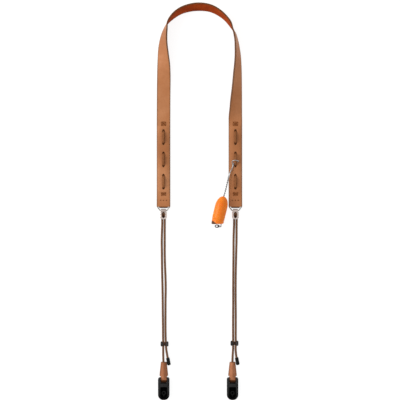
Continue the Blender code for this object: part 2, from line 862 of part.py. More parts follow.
def connector_mesh():
    """The connector about its hinge pin: horns and pin above, a pocket with its seat below.

    A ledge half way up the notch follows the leather round the pin.
    """
    half = connector_width / 2
    deep = connector_thickness / 2
    floor = -deep + pocket_floor
    foot_round = half - 0.0001
    outline = rounded_rectangle(
        -half, -connector_foot, half, horn_length, (foot_round, foot_round, horn_corner, horn_corner), 5
    )
    inset = 0.0007
    inner = rounded_rectangle(
        -half + inset,
        -connector_foot + inset,
        half - inset,
        horn_length - inset,
        (foot_round - inset, foot_round - inset, horn_corner - inset, horn_corner - inset),
        5,
    )
    body = loft("housing", [
        [(x, y, -deep) for x, y in inner],
        [(x, y, -deep + inset) for x, y in outline],
        [(x, y, deep - inset) for x, y in outline],
        [(x, y, deep) for x, y in inner],
    ])
    notch_half = tongue_width / 2 + clearance
    notch = outline_block(
        "notch",
        rounded_rectangle(
            -notch_half, -notch_depth, notch_half, horn_length + 0.002, (0.0006,) * 4, 2
        ),
        -deep - 0.001,
        deep + 0.001,
    )
    ledge_reach = hinge_pin / 2 + tab_leather + 2 * clearance
    ledge = outline_block(
        "ledge",
        rounded_rectangle(
            -notch_half - 0.0002, -notch_depth - 0.0002, notch_half + 0.0002, -ledge_reach, (0.0001,) * 4, 1
        ),
        -ledge_height / 2,
        ledge_height / 2,
    )
    pin = rod_along_x("pin", 0.0, 0.0, hinge_pin / 2, notch_half + 0.0012)
    pocket_half = pocket_width / 2
    pocket_round = pocket_half - 0.0001
    pocket = outline_block(
        "pocket",
        rounded_rectangle(
            -pocket_half,
            -pocket_foot,
            pocket_half,
            -pocket_top,
            (pocket_round, pocket_round, pocket_corner, pocket_corner),
            4,
        ),
        floor,
        deep + 0.001,
    )
    seat = outline_block(
        "seat",
        ellipse(0.0, -seat_drop, seat_radius, seat_radius, 14),
        floor - 0.0002,
        floor + seat_height,
    )
    stem_top = -seat_drop - seat_hole - 0.0006
    stem = outline_block(
        "stem",
        rounded_rectangle(
            -seat_stem / 2, -pocket_foot - 0.0004, seat_stem / 2, stem_top, (0.0003,) * 4, 2
        ),
        floor - 0.0003,
        floor + 0.9 * seat_height,
    )
    well = outline_block(
        "well", ellipse(0.0, -seat_drop, seat_hole, seat_hole, 12), floor, floor + seat_height + 0.001
    )
    return combined("connector", body, [
        ("DIFFERENCE", notch),
        ("UNION", ledge),
        ("UNION", pin),
        ("DIFFERENCE", pocket),
        ("UNION", seat),
        ("UNION", stem),
        ("DIFFERENCE", well),
    ])


def build_connectors(parent):
    mesh = connector_mesh()
    for side in ("left", "right"):
        place = (tab_axis[side], -hinge_drop, hinge_height)
        add_object("connector_" + side, mesh, "black_plastic", parent, place)


def capsule_axis():
    """The capsule's direction from its foot to its top, and the direction across it."""
    up = Vector((math.sin(capsule_lean), math.cos(capsule_lean), 0.0))
    return up, Vector((up.y, -up.x, 0.0))


def build_capsule(parent):
    radius = capsule_radius
    length = capsule_length
    bore_depth = 0.0045
    dome = 0.62 * length
    profile = [
        (0.0, 0.0),
        (radius - 0.0014, 0.0),
        (radius - 0.0004, 0.0005),
        (radius, 0.0016),
        (radius, dome),
    ]
    for i in range(1, 6):
        a = math.radians(90 * i / 6)
        profile.append((radius * math.cos(a), dome + (length - dome) * math.sin(a)))
    profile += [
        (capsule_bore, length),
        (capsule_bore, length - bore_depth),
        (0.0, length - bore_depth),
    ]
    up, _ = capsule_axis()
    mesh = turned("capsule", profile, 16)
    turn = up.to_track_quat("Z", "Y").to_euler()
    place = (capsule_foot[0], capsule_foot[1], radius)
    add_object("capsule", mesh, "orange_plastic", parent, place, turn)


def build_wire(parent):
    """From the capsule's bore up over the leg, round the lifted lacing loop and back."""
    up, _ = capsule_axis()
    foot = Vector((*capsule_foot, capsule_radius))
    inside = foot + up * (capsule_length - 0.0042)
    mouth = foot + up * (capsule_length + 0.0015)
    surface = leather + clearance + crown + leather
    loop = leg_axis["right"]
    middle = lace_centres[1]
    on_leather = surface + clearance + wire_twisted / 2
    under = surface + clearance + wire_single / 2
    over = surface + clearance + lace_raise + lace_loop_height + clearance + wire_single / 2
    twisted = wire_twisted / 2
    single = wire_single / 2
    rows = [
        (*inside, twisted),
        (*mouth, twisted),
        (loop - 0.0185, middle - 0.0580, 0.0102, twisted),
        (loop - 0.0140, middle - 0.0400, on_leather + 0.0012, twisted),
        (loop - 0.0108, middle - 0.0270, on_leather + 0.0003, twisted),
        (loop - 0.0070, middle - 0.0170, on_leather + 0.0001, 0.9 * twisted),
        (loop - 0.0048, middle - 0.0125, under + 0.0004, single),
        (loop - 0.0052, middle - 0.0075, under + 0.0010, single),
        (loop - 0.0056, middle - 0.0038, under + 0.0032, single),
        (loop - 0.0034, middle - 0.0022, over - 0.0006, single),
        (loop, middle - 0.0017, over, single),
        (loop + 0.0034, middle - 0.0023, over - 0.0008, single),
        (loop + 0.0054, middle - 0.0032, under + 0.0028, single),
        (loop + 0.0044, middle - 0.0038, under + 0.0006, single),
        (loop + 0.0010, middle - 0.0042, under, single),
        (loop - 0.0031, middle - 0.0068, under, single),
        (loop - 0.0036, middle - 0.0105, under, single),
    ]
    rows = smooth_rows(rows, 0.0080, 26.0, 3)
    centres = [row[:3] for row in rows]
    halves = [(row[3], row[3]) for row in rows]
    add_object("wire_loop", sweep("wire_loop", centres, halves, 8, (1, 0, 0)), "wire", parent)


def build_capsule_ring(parent):
    """A hook in the capsule's foot and the ring that lies on it."""
    up, across = capsule_axis()
    foot = Vector((*capsule_foot, capsule_radius))
    centre = Vector((foot.x, foot.y - 0.0049, keyring_wire / 2 + keyring_radius * math.sin(keyring_tilt)))
    angles = [2 * math.pi * k / 16 for k in range(16)]
    points = [(keyring_radius * math.cos(a), keyring_radius * math.sin(a), 0.0) for a in angles]
    half = keyring_wire / 2
    mesh = sweep("capsule_ring", points, [(half, half)] * 16, 6, (0, 0, 1), closed=True)
    add_object("capsule_ring", mesh, "wire", parent, centre, (keyring_tilt, 0, 0))

    held = centre + Vector((keyring_radius, 0, 0))
    away = Vector((0.0, -math.sin(keyring_tilt), math.cos(keyring_tilt)))
    curl = 0.0018
    start = foot + across * 0.0072 + Vector((0, 0, -0.0045)) - up * clearance
    rows = [start, start - up * 0.0016, held + Vector((0.0031, 0, 0)) + away * 0.0012]
    for degrees in (45, 90, 135, 180, 225, 270, 310):
        a = math.radians(degrees)
        rows.append(held + (Vector((math.cos(a), 0, 0)) + away * math.sin(a)) * curl)
    centres = smooth_rows([tuple(row) for row in rows], 0.0030, 30.0, 3)
    halves = [(hook_wire / 2, hook_wire / 2)] * len(centres)
    add_object("capsule_hook", sweep("capsule_hook", centres, halves, 6, (0, 0, 1)), "wire", parent)


def build_strap():
    strap = bpy.data.objects.new("strap_frame", None)
    bpy.context.scene.collection.objects.link(strap)
    build_band(strap)
    build_lining(strap)
    build_lacing(strap)
    build_rings(strap)
    build_eyes(strap)
    build_cords(strap)
    build_locks(strap)
    build_beads(strap)
    build_tabs(strap)
    build_connectors(strap)
    build_wire(strap)
    build_capsule(strap)
    build_capsule_ring(strap)
    return strap


def centre_on_footprint(strap):
    """Moves the strap so that the middle of its footprint is the world's origin."""
    bpy.context.view_layer.update()
    corners = []
    for piece in strap.children:
        corners += [piece.matrix_world @ Vector(corner) for corner in piece.bound_box]
    low = [min(corner[i] for corner in corners) for i in range(2)]
    high = [max(corner[i] for corner in corners) for i in range(2)]
    strap.location = (-(low[0] + high[0]) / 2, -(low[1] + high[1]) / 2, 0.0)


clear_scene()
centre_on_footprint(build_strap())
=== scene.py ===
"""Camera neck strap with its finished surfaces, on a pale floor, seen from straight above.

Metres, +Z up. The tables and functions below use the strap's own frame: X = 0 is midway between
the legs, Y = 0 is the upper bar of both rings, and a drop is a distance below it. strap_origin is
where that frame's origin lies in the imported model's frame.
"""

import math

import bmesh
import bpy
import numpy as np
from mathutils import Matrix, Vector
from mathutils.bvhtree import BVHTree
from mathutils.kdtree import KDTree


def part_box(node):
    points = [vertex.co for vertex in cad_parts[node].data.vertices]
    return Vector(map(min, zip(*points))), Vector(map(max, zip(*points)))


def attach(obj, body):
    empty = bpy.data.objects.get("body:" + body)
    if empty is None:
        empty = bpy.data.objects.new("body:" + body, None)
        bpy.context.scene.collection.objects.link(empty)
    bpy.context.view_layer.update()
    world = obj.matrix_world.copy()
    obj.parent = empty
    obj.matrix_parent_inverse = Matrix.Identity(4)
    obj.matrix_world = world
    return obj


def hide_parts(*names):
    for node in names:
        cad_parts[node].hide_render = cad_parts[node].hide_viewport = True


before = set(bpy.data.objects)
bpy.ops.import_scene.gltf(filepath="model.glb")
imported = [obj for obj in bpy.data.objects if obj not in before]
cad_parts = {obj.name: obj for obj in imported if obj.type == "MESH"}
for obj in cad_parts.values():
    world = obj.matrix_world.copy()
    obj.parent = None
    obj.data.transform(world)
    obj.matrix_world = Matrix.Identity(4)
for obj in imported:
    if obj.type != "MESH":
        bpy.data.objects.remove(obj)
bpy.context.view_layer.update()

both = ("left", "right")

# Gap between pieces that touch, and the narrower one round the tongue in the connector
clearance = 0.0003
tongue_gap = 0.0001

# Leather band
band_width = 0.0230
leather = 0.0016
lining = 0.0008
leg_spacing = 0.1220
flap_length = 0.1460
arch_height = 0.1881
fold_notch_width = 0.0042
fold_notch_turns = (69, 74)
fold_rise_length = 0.0160
layer_blend = 0.0120
crown_power = 2.61
edge_round = 0.0006
# How dark the painted shade on a fold's underside is
fold_shade = 0.92

# Lacing down each leg
lace_height = 0.0017
lace_loop_width = 0.0048
lace_loop_height = 0.0034
lace_first = 0.0417
lace_pitch = 0.0378
lace_span = 0.0212
lace_hole_width = 0.0039
lace_hole_length = 0.0058
lace_hole_inset = 0.0004
lace_raise = 0.0023
lace_sink = 0.00045
lace_sink_reach = 0.0034

# Stitches
tack_top = 0.1399
tack_foot = 0.0209
tack_thread = 0.0009
row_height = 0.0102
row_pitch = 0.0049
row_stitch = 0.0020
row_thread = 0.0013
seam_thread = 0.00045
seam_stitch = 0.0024
seam_inset = 0.0014

# Metal ring and cord eye
ring_wire = 0.0020
ring_half_width = 0.0113
ring_drop = 0.0072
ring_corner = 0.0013
knuckle_radius = 0.0029
knuckle_width = 0.0084
eye_width = 0.0112
eye_wall = 0.0010
eye_depth = 0.0149
eye_corner = 0.0036
window_width = 0.0060
window_rim = 0.0021
eye_round = 0.00016

# Cord, slider and end bead
cord_diameter = 0.0038
cord_sides = 24
strand_spacing = 0.0046
lock_drop = {"left": 0.2334, "right": 0.2323}
lock_axis = {"left": -0.0592, "right": 0.0594}
lock_spacing = 0.0045
lock_width = 0.0134
lock_lobe = 0.0043
lock_waist = 0.0036
lock_round = 0.00018
bead_length = 0.0128
bead_radius = 0.0031
bead_neck = 0.0029
bead_bore_depth = 0.0052

# Leather tab and connector
tab_leather = 0.0015
tab_drop = 0.2643
tab_axis = {"left": -0.0605, "right": 0.0561}
tab_top_width = 0.0098
tab_wide = 0.0145
tab_wide_drop = 0.2860
tab_shoulder_drop = 0.2884
tab_bulge = 0.0036
tongue_width = 0.0110
hinge_drop = 0.2961
hinge_pin = 0.0025
connector_width = 0.0194
connector_thickness = 0.0090
connector_foot = 0.0325
connector_round = 0.00025
connector_slope = 0.0024
horn_length = 0.0060
horn_corner = 0.0034
notch_depth = 0.0040
ledge_height = 0.0030
pocket_width = 0.0118
pocket_corner = 0.0012
pocket_top = 0.0098
pocket_foot = 0.0289
pocket_floor = 0.0020
seat_drop = 0.0207
seat_radius = 0.0037
seat_hole = 0.0018
seat_height = 0.0022
seat_stem = 0.0021

# Capsule on its wire
capsule_radius = 0.0106
capsule_length = 0.0470
capsule_foot = (0.0298, -0.0289)
capsule_lean = math.radians(13.8)
capsule_bore = 0.0016
capsule_bore_depth = 0.0045
capsule_dome = 0.62
foot_reach = 0.0120
foot_longer = 0.0010
foot_taper = 0.0012
mouth_height = 0.0050
wire_strand = 0.0014
wire_twist = 0.0075
loose_twist = 0.040
loose_length = 0.016
hook_wire = 0.0013
hook_root = 0.0072
hook_curl = 0.0018
keyring_radius = 0.0032
keyring_wire = 0.0016
keyring_drop = 0.0049
keyring_tilt = math.radians(48)

# Worked out from the sizes above
fold_inner = ring_wire / 2 + clearance
fold_outer = fold_inner + leather
ring_height = fold_outer
crown = lace_height + clearance
lace_surface = leather + clearance + crown + leather
outer_half = leg_spacing / 2 + band_width / 2
leg_axis = {"left": -leg_spacing / 2, "right": leg_spacing / 2}
lace_centres = [lace_first + i * lace_pitch for i in range(3)]
lace_holes = [
    (leg_axis[side], centre + end * (lace_span / 2 - lace_hole_inset))
    for side in both
    for centre in lace_centres
    for end in (-1, 1)
]
cord_bore = cord_diameter / 2 + clearance / 2
eye_foot = -ring_drop - eye_depth
eye_top = -ring_drop - fold_inner
eye_thickness = 2 * eye_wall + cord_diameter + 2 * clearance
hinge_height = connector_thickness / 2
pin_gap = hinge_pin / 2 + clearance

# The band's outer face along its lower edge, from the top of a leg to the top of the arch.
# Columns: x as a share of outer_half, y as a share of arch_height above the leg's top, and the
# lean in degrees: 0 lies flat with the outer face up, 90 stands on edge, more leans outward.
left_arch = [
    (-1.000, 0.000, 0),
    (-0.998, 0.180, 0),
    (-0.995, 0.340, 4),
    (-0.989, 0.500, 22),
    (-0.981, 0.575, 36),
    (-0.968, 0.650, 47),
    (-0.936, 0.722, 58),
    (-0.890, 0.785, 67),
    (-0.840, 0.830, 75),
    (-0.777, 0.872, 86),
    (-0.610, 0.930, 100),
    (-0.446, 0.968, 106),
    (-0.222, 0.993, 111),
    (0.000, 1.000, 113),
]
right_arch = [
    (1.000, 0.000, 2),
    (1.001, 0.072, 20),
    (1.001, 0.181, 33),
    (1.000, 0.271, 43),
    (0.998, 0.361, 50),
    (0.995, 0.434, 55),
    (0.988, 0.505, 61),
    (0.976, 0.577, 66),
    (0.950, 0.650, 71),
    (0.912, 0.722, 77),
    (0.850, 0.794, 82),
    (0.795, 0.826, 87),
    (0.733, 0.857, 95),
    (0.604, 0.913, 100),
    (0.472, 0.951, 104),
    (0.269, 0.988, 109),
]

# Places along both cords, from the end inside the tab up to the eye and back down to the bead.
# Columns: x and y of the left cord, x and y of the right one, and z of both.
cord_rows = [
    (-0.0609, -0.2840, 0.0559, -0.2840, 0.0037),
    (-0.0610, -0.2740, 0.0559, -0.2740, 0.0037),
    (-0.0611, -0.2640, 0.0560, -0.2640, 0.0037),
    (-0.0614, -0.2540, 0.0563, -0.2540, 0.0039),
    (-0.0615, -0.2430, 0.0570, -0.2430, 0.0042),
    (-0.0614, -0.2335, 0.0572, -0.2323, 0.0043),
    (-0.0617, -0.2220, 0.0571, -0.2210, 0.0039),
    (-0.0619, -0.2040, 0.0571, -0.2030, 0.0023),
    (-0.0622, -0.1820, 0.0572, -0.1810, 0.0020),
    (-0.0624, -0.1600, 0.0573, -0.1600, 0.0020),
    (-0.0627, -0.1390, 0.0573, -0.1390, 0.0020),
    (-0.0632, -0.1190, 0.0574, -0.1190, 0.0020),
    (-0.0636, -0.0980, 0.0576, -0.0980, 0.0020),
    (-0.0638, -0.0780, 0.0578, -0.0780, 0.0020),
    (-0.0640, -0.0580, 0.0579, -0.0580, 0.0020),
    (-0.0635, -0.0400, 0.0584, -0.0400, 0.0022),
    (-0.0631, -0.0280, 0.0589, -0.0280, 0.0030),
    (-0.0632, -0.0200, 0.0588, -0.0200, 0.0032),
    (-0.0633, -0.0140, 0.0587, -0.0140, 0.0032),
    (-0.0626, -0.0124, 0.0594, -0.0124, 0.0032),
    (-0.0610, -0.0117, 0.0610, -0.0117, 0.0032),
    (-0.0594, -0.0124, 0.0626, -0.0124, 0.0032),
    (-0.0587, -0.0140, 0.0633, -0.0140, 0.0032),
    (-0.0588, -0.0200, 0.0632, -0.0200, 0.0032),
    (-0.0589, -0.0280, 0.0631, -0.0280, 0.0030),
    (-0.0590, -0.0400, 0.0630, -0.0400, 0.0022),
    (-0.0590, -0.0580, 0.0629, -0.0580, 0.0020),
    (-0.0590, -0.0780, 0.0624, -0.0780, 0.0020),
    (-0.0586, -0.0980, 0.0619, -0.0980, 0.0020),
    (-0.0577, -0.1190, 0.0615, -0.1190, 0.0020),
    (-0.0573, -0.1390, 0.0614, -0.1390, 0.0020),
    (-0.0576, -0.1600, 0.0614, -0.1600, 0.0020),
    (-0.0577, -0.1820, 0.0616, -0.1810, 0.0020),
    (-0.0577, -0.2040, 0.0616, -0.2030, 0.0023),
    (-0.0574, -0.2220, 0.0615, -0.2210, 0.0039),
    (-0.0570, -0.2335, 0.0616, -0.2323, 0.0043),
    (-0.0562, -0.2430, 0.0614, -0.2430, 0.0042),
    (-0.0546, -0.2530, 0.0623, -0.2530, 0.0036),
    (-0.0529, -0.2620, 0.0639, -0.2615, 0.0032),
]
cord_routes = {
    "left": [(x, y, z) for x, y, _, _, z in cord_rows],
    "right": [(x, y, z) for _, _, x, y, z in cord_rows],
}


def strap_place():
    """Where the strap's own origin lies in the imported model's frame."""
    left_low, left_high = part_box("ring_left")
    _, right_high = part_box("ring_right")
    return Vector(((left_low.x + right_high.x) / 2, left_high.y - ring_wire / 2, 0.0))


strap_origin = strap_place()


# Lines, sections and meshes


def smoothstep(start, end, value):
    share = np.clip((value - start) / (end - start), 0.0, 1.0)
    return share * share * (3.0 - 2.0 * share)


def slopes_at(rows, knots):
    """The slope of each column at each row, from the rows beside it."""
    steps = np.diff(knots)[:, None]
    chords = np.diff(rows, axis=0) / steps
    inner = (chords[:-1] * steps[1:] + chords[1:] * steps[:-1]) / (steps[1:] + steps[:-1])
    return np.vstack([chords[:1], inner, chords[-1:]])


def smooth_rows(rows, step, place=3):
    """Rows along a smooth curve through the given ones, a step apart.

    The first columns, as many as place says, are a position. The others change along with it.
    """
    rows = np.array(rows, dtype=float)
    lengths = np.linalg.norm(np.diff(rows[:, :place], axis=0), axis=1)
    knots = np.concatenate([[0.0], np.cumsum(lengths)])
    slopes = slopes_at(rows, knots)
    made = [rows[:1]]
    for segment, length in enumerate(lengths):
        count = max(1, math.ceil(length / step))
        s = (np.arange(1, count + 1) / count)[:, None]
        s2 = s * s
        s3 = s2 * s
        made.append(
            (2 * s3 - 3 * s2 + 1) * rows[segment]
            + (s3 - 2 * s2 + s) * length * slopes[segment]
            + (3 * s2 - 2 * s3) * rows[segment + 1]
            + (s3 - s2) * length * slopes[segment + 1]
        )
    return np.vstack(made)


def distances(points):
    steps = np.linalg.norm(np.diff(points, axis=0), axis=1)
    return np.concatenate([[0.0], np.cumsum(steps)])


def directions(points, first_side, closed=False):
    """The sideways and upward directions along a line, carried on without twist."""
    if closed:
        after = np.roll(points, -1, axis=0)
        before = np.roll(points, 1, axis=0)
    else:
        after = np.vstack([points[1:], points[-1:]])
        before = np.vstack([points[:1], points[:-1]])
    along = after - before
    along = along / np.linalg.norm(along, axis=1)[:, None]
    side = np.array(first_side, dtype=float)
    sides = []
    for heading in along:
        side = side - heading * side.dot(heading)
        side = side / np.linalg.norm(side)
        sides.append(side)
    sides = np.array(sides)
    return sides, np.cross(along, sides)


def around(count):
    """Equal steps round a circle, in radians."""
    return [2 * math.pi * k / count for k in range(count)]


def tube(points, halves, sides, first_side=(0, 0, 1), closed=False, relief=None):
    """Sections of a bar along points. halves is its half width and half height, or one row each.

    relief gives what is added to the half sizes, from the angle and the distance along the bar.
    """
    points = np.array([tuple(p) for p in points], dtype=float)
    halves = np.broadcast_to(np.array(halves, dtype=float), (len(points), 2))
    side, up = directions(points, first_side, closed)
    angles = np.array(around(sides))
    swell = 0.0
    if relief:
        swell = relief(angles[None, :], distances(points)[:, None])
    sideways = (halves[:, :1] + swell) * np.cos(angles)
    upward = (halves[:, 1:] + swell) * np.sin(angles)
    return (
        points[:, None, :]
        + sideways[..., None] * side[:, None, :]
        + upward[..., None] * up[:, None, :]
    )


def creased(mesh, degrees):
    """The mesh, smooth but for the edges that turn by more."""
    mesh.shade_smooth()
    mesh.set_sharp_from_angle(angle=math.radians(degrees))
    return mesh


def made_of(name, points, faces, crease_degrees):
    """A mesh with its faces turned outward."""
    mesh = bpy.data.meshes.new(name)
    mesh.from_pydata(points, [], faces)
    shape = bmesh.new()
    shape.from_mesh(mesh)
    bmesh.ops.recalc_face_normals(shape, faces=shape.faces)
    shape.to_mesh(mesh)
    shape.free()
    return creased(mesh, crease_degrees)


def skin(name, bodies, closed=False, crease_degrees=40.0):
    """One mesh of closed bodies, each given as sections of equally many points."""
    points = []
    faces = []
    for sections in bodies:
        rings = len(sections)
        count = len(sections[0])
        base = len(points)
        points.extend(map(tuple, np.reshape(sections, (-1, 3))))
        for i in range(rings if closed else rings - 1):
            low = base + i * count
            high = base + (i + 1) % rings * count
            for k in range(count):
                n = (k + 1) % count
                faces.append((low + k, low + n, high + n, high + k))
        if not closed:
            faces.append(tuple(range(base + count - 1, base - 1, -1)))
            faces.append(tuple(range(base + (rings - 1) * count, base + rings * count)))
    return made_of(name, points, faces, crease_degrees)


def bar(name, points, radius, sides, closed=False, relief=None):
    """A round bar along a line."""
    sections = tube(points, (radius, radius), sides, closed=closed, relief=relief)
    return skin(name, [sections], closed, 180.0)


def turned(name, profile, sides, crease_degrees=40.0):
    """A body turned about Z from (radius, height) rows that start and end on the axis."""
    points = []
    rings = []
    for radius, height in profile:
        count = 1 if radius == 0 else sides
        rings.append(range(len(points), len(points) + count))
        points += [(radius * math.cos(a), radius * math.sin(a), height) for a in around(count)]
    faces = []
    for low, high in zip(rings, rings[1:]):
        for i in range(sides):
            corners = [low[i % len(low)], low[(i + 1) % len(low)]]
            corners += [high[(i + 1) % len(high)], high[i % len(high)]]
            faces.append(tuple(dict.fromkeys(corners)))
    return made_of(name, points, faces, crease_degrees)


def rounded_rectangle(half, foot, top, foot_radius, top_radius, steps=6):
    """An outline about x = 0, with one radius for its lower corners and one for its upper ones."""
    corners = [
        (foot_radius - half, foot + foot_radius, 180, foot_radius),
        (half - foot_radius, foot + foot_radius, 270, foot_radius),
        (half - top_radius, top - top_radius, 0, top_radius),
        (top_radius - half, top - top_radius, 90, top_radius),
    ]
    points = []
    for x, y, start, radius in corners:
        for i in range(steps + 1):
            a = math.radians(start + 90 * i / steps)
            points.append((x + radius * math.cos(a), y + radius * math.sin(a)))
    return points


def ellipse(x, y, half_x, half_y, sides=32):
    return [(x + half_x * math.cos(a), y + half_y * math.sin(a)) for a in around(sides)]


def raised(outline, low, high):
    """Sections of an outline raised from low to high."""
    return [[(x, y, z) for x, y in outline] for z in (low, high)]


def soft_block(half, foot, top, foot_radius, top_radius, low, high, soft, steps=4, corner_steps=8):
    """Sections of a rounded rectangle raised from low to high, with soft rims."""
    lower = []
    upper = []
    for k in range(steps + 1):
        a = math.radians(90 * k / steps)
        lower.append((soft * (1 - math.sin(a)), low + soft * (1 - math.cos(a))))
        upper.append((soft * (1 - math.cos(a)), high - soft + soft * math.sin(a)))
    sections = []
    for inset, z in lower + upper:
        radii = [max(radius - inset, 0.0001) for radius in (foot_radius, top_radius)]
        outline = rounded_rectangle(half - inset, foot + inset, top - inset, *radii, corner_steps)
        sections.append([(x, y, z) for x, y in outline])
    return sections


def rod_along_x(y, z, radius, half_length):
    """Sections of a rod centred on x = 0, with a small chamfer at each end."""
    chamfer = 0.0002
    reaches = [(-half_length, radius - chamfer), (-half_length + chamfer, radius)]
    reaches += [(half_length - chamfer, radius), (half_length, radius - chamfer)]
    return [[(x, y + r * math.cos(a), z + r * math.sin(a)) for a in around(32)] for x, r in reaches]


def combined(name, base, steps, crease_degrees=35.0):
    """The base mesh after Boolean steps, each an operation and the closed bodies that it uses."""
    body = bpy.data.objects.new(name + "_base", base)
    bpy.context.scene.collection.objects.link(body)
    helpers = [body]
    for operation, *bodies in steps:
        helper = bpy.data.objects.new(name + "_helper", skin(name + "_helper", bodies))
        bpy.context.scene.collection.objects.link(helper)
        step = body.modifiers.new(operation.lower(), "BOOLEAN")
        step.operation = operation
        step.object = helper
        helpers.append(helper)
    bpy.context.view_layer.update()
    graph = bpy.context.evaluated_depsgraph_get()
    mesh = bpy.data.meshes.new_from_object(body.evaluated_get(graph))
    mesh.name = name
    for helper in helpers:
        used = helper.data
        bpy.data.objects.remove(helper, do_unlink=True)
        bpy.data.meshes.remove(used)
    return creased(mesh, crease_degrees)


def dress(name, mesh, finish, nodes=(), place=(0, 0, 0), turn=None, body="strap"):
    """A finished piece, turned about its own origin and put at a place in the strap's frame.

    It stands for the named CAD nodes and moves with a body.
    """
    turned_by = turn.to_matrix().to_4x4() if turn else Matrix.Identity(4)
    mesh.transform(Matrix.Translation(Vector(place) + strap_origin) @ turned_by)
    piece = bpy.data.objects.new(name, mesh)
    bpy.context.scene.collection.objects.link(piece)
    mesh.materials.clear()
    mesh.materials.append(materials[finish])
    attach(piece, body)
    if nodes:
        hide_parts(*nodes)
    return piece


def soften(piece, width):
    """Small rounds on the piece's hard edges."""
    bevel = piece.modifiers.new("rounds", "BEVEL")
    bevel.width = width
    bevel.segments = 2
    bevel.limit_method = "ANGLE"
    bevel.angle_limit = math.radians(40)
    bevel.harden_normals = True


def paint(mesh, name, values):
    """Stores one number for each of the mesh's points."""
    layer = mesh.attributes.new(name, "FLOAT", "POINT")
    layer.data.foreach_set("value", np.array(values, dtype=np.float32).ravel())


# Materials


class Recipe:
    """A material under construction: its node tree and the shader at its end."""

    def __init__(self, name, roughness, metallic=0.0, stretch=(1.0, 1.0, 1.0)):
        self.material = bpy.data.materials.new(name)
        self.material.use_nodes = True
        self.tree = self.material.node_tree
        self.shader = self.tree.nodes["Principled BSDF"]
        self.set("Roughness", roughness)
        self.set("Metallic", metallic)
        where = self.node("TexCoord", {}).outputs["Object"]
        self.place = self.node("Mapping", {"Vector": where, "Scale": stretch}).outputs["Vector"]

    def feed(self, socket, value):
        if isinstance(value, bpy.types.NodeSocket):
            self.tree.links.new(value, socket)
        elif socket.type == "RGBA":
            socket.default_value = (*value, 1.0)
        else:
            socket.default_value = value

    def set(self, name, value):
        self.feed(self.shader.inputs[name], value)

    def node(self, kind, inputs):
        """A new node of a kind, with its inputs by name or number."""
        made = self.tree.nodes.new("ShaderNode" + kind)
        for name, value in inputs.items():
            self.feed(made.inputs[name], value)
        return made

    def noise(self, scale, detail, roughness=0.5):
        inputs = {"Vector": self.place, "Scale": scale, "Detail": detail, "Roughness": roughness}
        return self.node("TexNoise", inputs).outputs["Fac"]

    def cells(self, scale, feature="F1"):
        made = self.node("TexVoronoi", {"Vector": self.place, "Scale": scale})
        made.feature = feature
        return made.outputs["Distance"]

    def sideways(self):
        return self.node("SeparateXYZ", {"Vector": self.place}).outputs["X"]

    def stored(self, name):
        made = self.node("Attribute", {})
        made.attribute_name = name
        return made.outputs["Fac"]

    def ramp(self, value, stops):
        made = self.node("ValToRGB", {"Fac": value})
        while len(made.color_ramp.elements) < len(stops):
            made.color_ramp.elements.new(0.5)
        for element, (place, colour) in zip(made.color_ramp.elements, stops):
            element.position = place
            element.color = (*colour, 1.0)
        return made.outputs["Color"]

    def fit(self, value, low, high, to_low, to_high):
        inputs = {"Value": value, "From Min": low, "From Max": high, "To Min": to_low, "To Max": to_high}
        return self.node("MapRange", inputs).outputs["Result"]

    def blend(self, share, first, second):
        return self.node("MixRGB", {"Fac": share, "Color1": first, "Color2": second}).outputs["Color"]

    def times(self, first, second):
        made = self.node("Math", {0: first, 1: second})
        made.operation = "MULTIPLY"
        return made.outputs["Value"]

    def relief(self, *layers):
        """Bumps, each a height, a strength and a depth in metres."""
        lower = {}
        for height, strength, depth in layers:
            inputs = {"Height": height, "Strength": strength, "Distance": depth, **lower}
            lower = {"Normal": self.node("Bump", inputs).outputs["Normal"]}
        self.set("Normal", lower["Normal"])


def leather_material(name, deep, tone, pale, edge, roughness, shadow, painted_shade_to_right=0.0):
    """Smooth leather: cloudy tone, pores, fine creases, darker burnished edges and painted shade.

    shadow is the colour of the painted shade on a fold's underside. The last argument is how far a
    painted shade deepens the tone from the strap's left leg to its right one, as a light from the left would.
    """
    made = Recipe(name, roughness)
    clouds = made.noise(16.0, 3.0, 0.55)
    patches = made.noise(130.0, 4.0, 0.6)
    pores = made.cells(1700.0)
    creases = made.cells(750.0, "DISTANCE_TO_EDGE")
    colour = made.ramp(clouds, [(0.34, deep), (0.50, tone), (0.68, pale)])
    colour = made.blend(made.fit(patches, 0.35, 0.70, 0.0, 0.35), colour, deep)
    colour = made.blend(made.fit(pores, 0.0, 0.25, 0.30, 0.0), colour, deep)
    # Painted shade: the tone deepens from the left leg to the right one, as a light from the left would shade
    # it.
    rightward = made.fit(made.sideways(), leg_axis["left"], leg_axis["right"], 0.0, painted_shade_to_right)
    colour = made.blend(rightward, colour, deep)
    worn = made.times(made.stored("edge"), made.fit(patches, 0.3, 0.7, 0.80, 1.0))
    colour = made.blend(worn, colour, edge)
    # Painted shade on folds' undersides, with its gloss taken away.
    shade = made.stored("shade")
    made.set("Base Color", made.blend(shade, colour, shadow))
    made.set("Roughness", made.fit(patches, 0.3, 0.7, roughness - 0.07, roughness + 0.09))
    made.set("Specular IOR Level", made.fit(shade, 0.0, 0.6, 0.18, 0.0))
    made.relief(
        (made.fit(creases, 0.0, 0.12, 0.0, 1.0), 0.25, 0.00008),
        (pores, 0.30, 0.00010),
        (patches, 0.15, 0.00030),
    )
    return made.material


def suede_material(name, deep, tone, pale, edge):
    """Napped leather: soft, matt, with brushed patches."""
    made = Recipe(name, 0.9)
    brushed = made.noise(60.0, 4.0, 0.6)
    nap = made.noise(2600.0, 3.0, 0.7)
    colour = made.ramp(brushed, [(0.34, deep), (0.52, tone), (0.70, pale)])
    colour = made.blend(made.fit(nap, 0.35, 0.65, 0.0, 0.4), colour, deep)
    colour = made.blend(made.stored("edge"), colour, edge)
    made.set("Base Color", colour)
    made.set("Specular IOR Level", 0.04)
    made.set("Sheen Weight", 0.06)
    made.set("Sheen Roughness", 0.6)
    made.set("Sheen Tint", (1.0, 0.50, 0.20))
    made.relief((nap, 0.5, 0.00012), (brushed, 0.2, 0.0003))
    return made.material


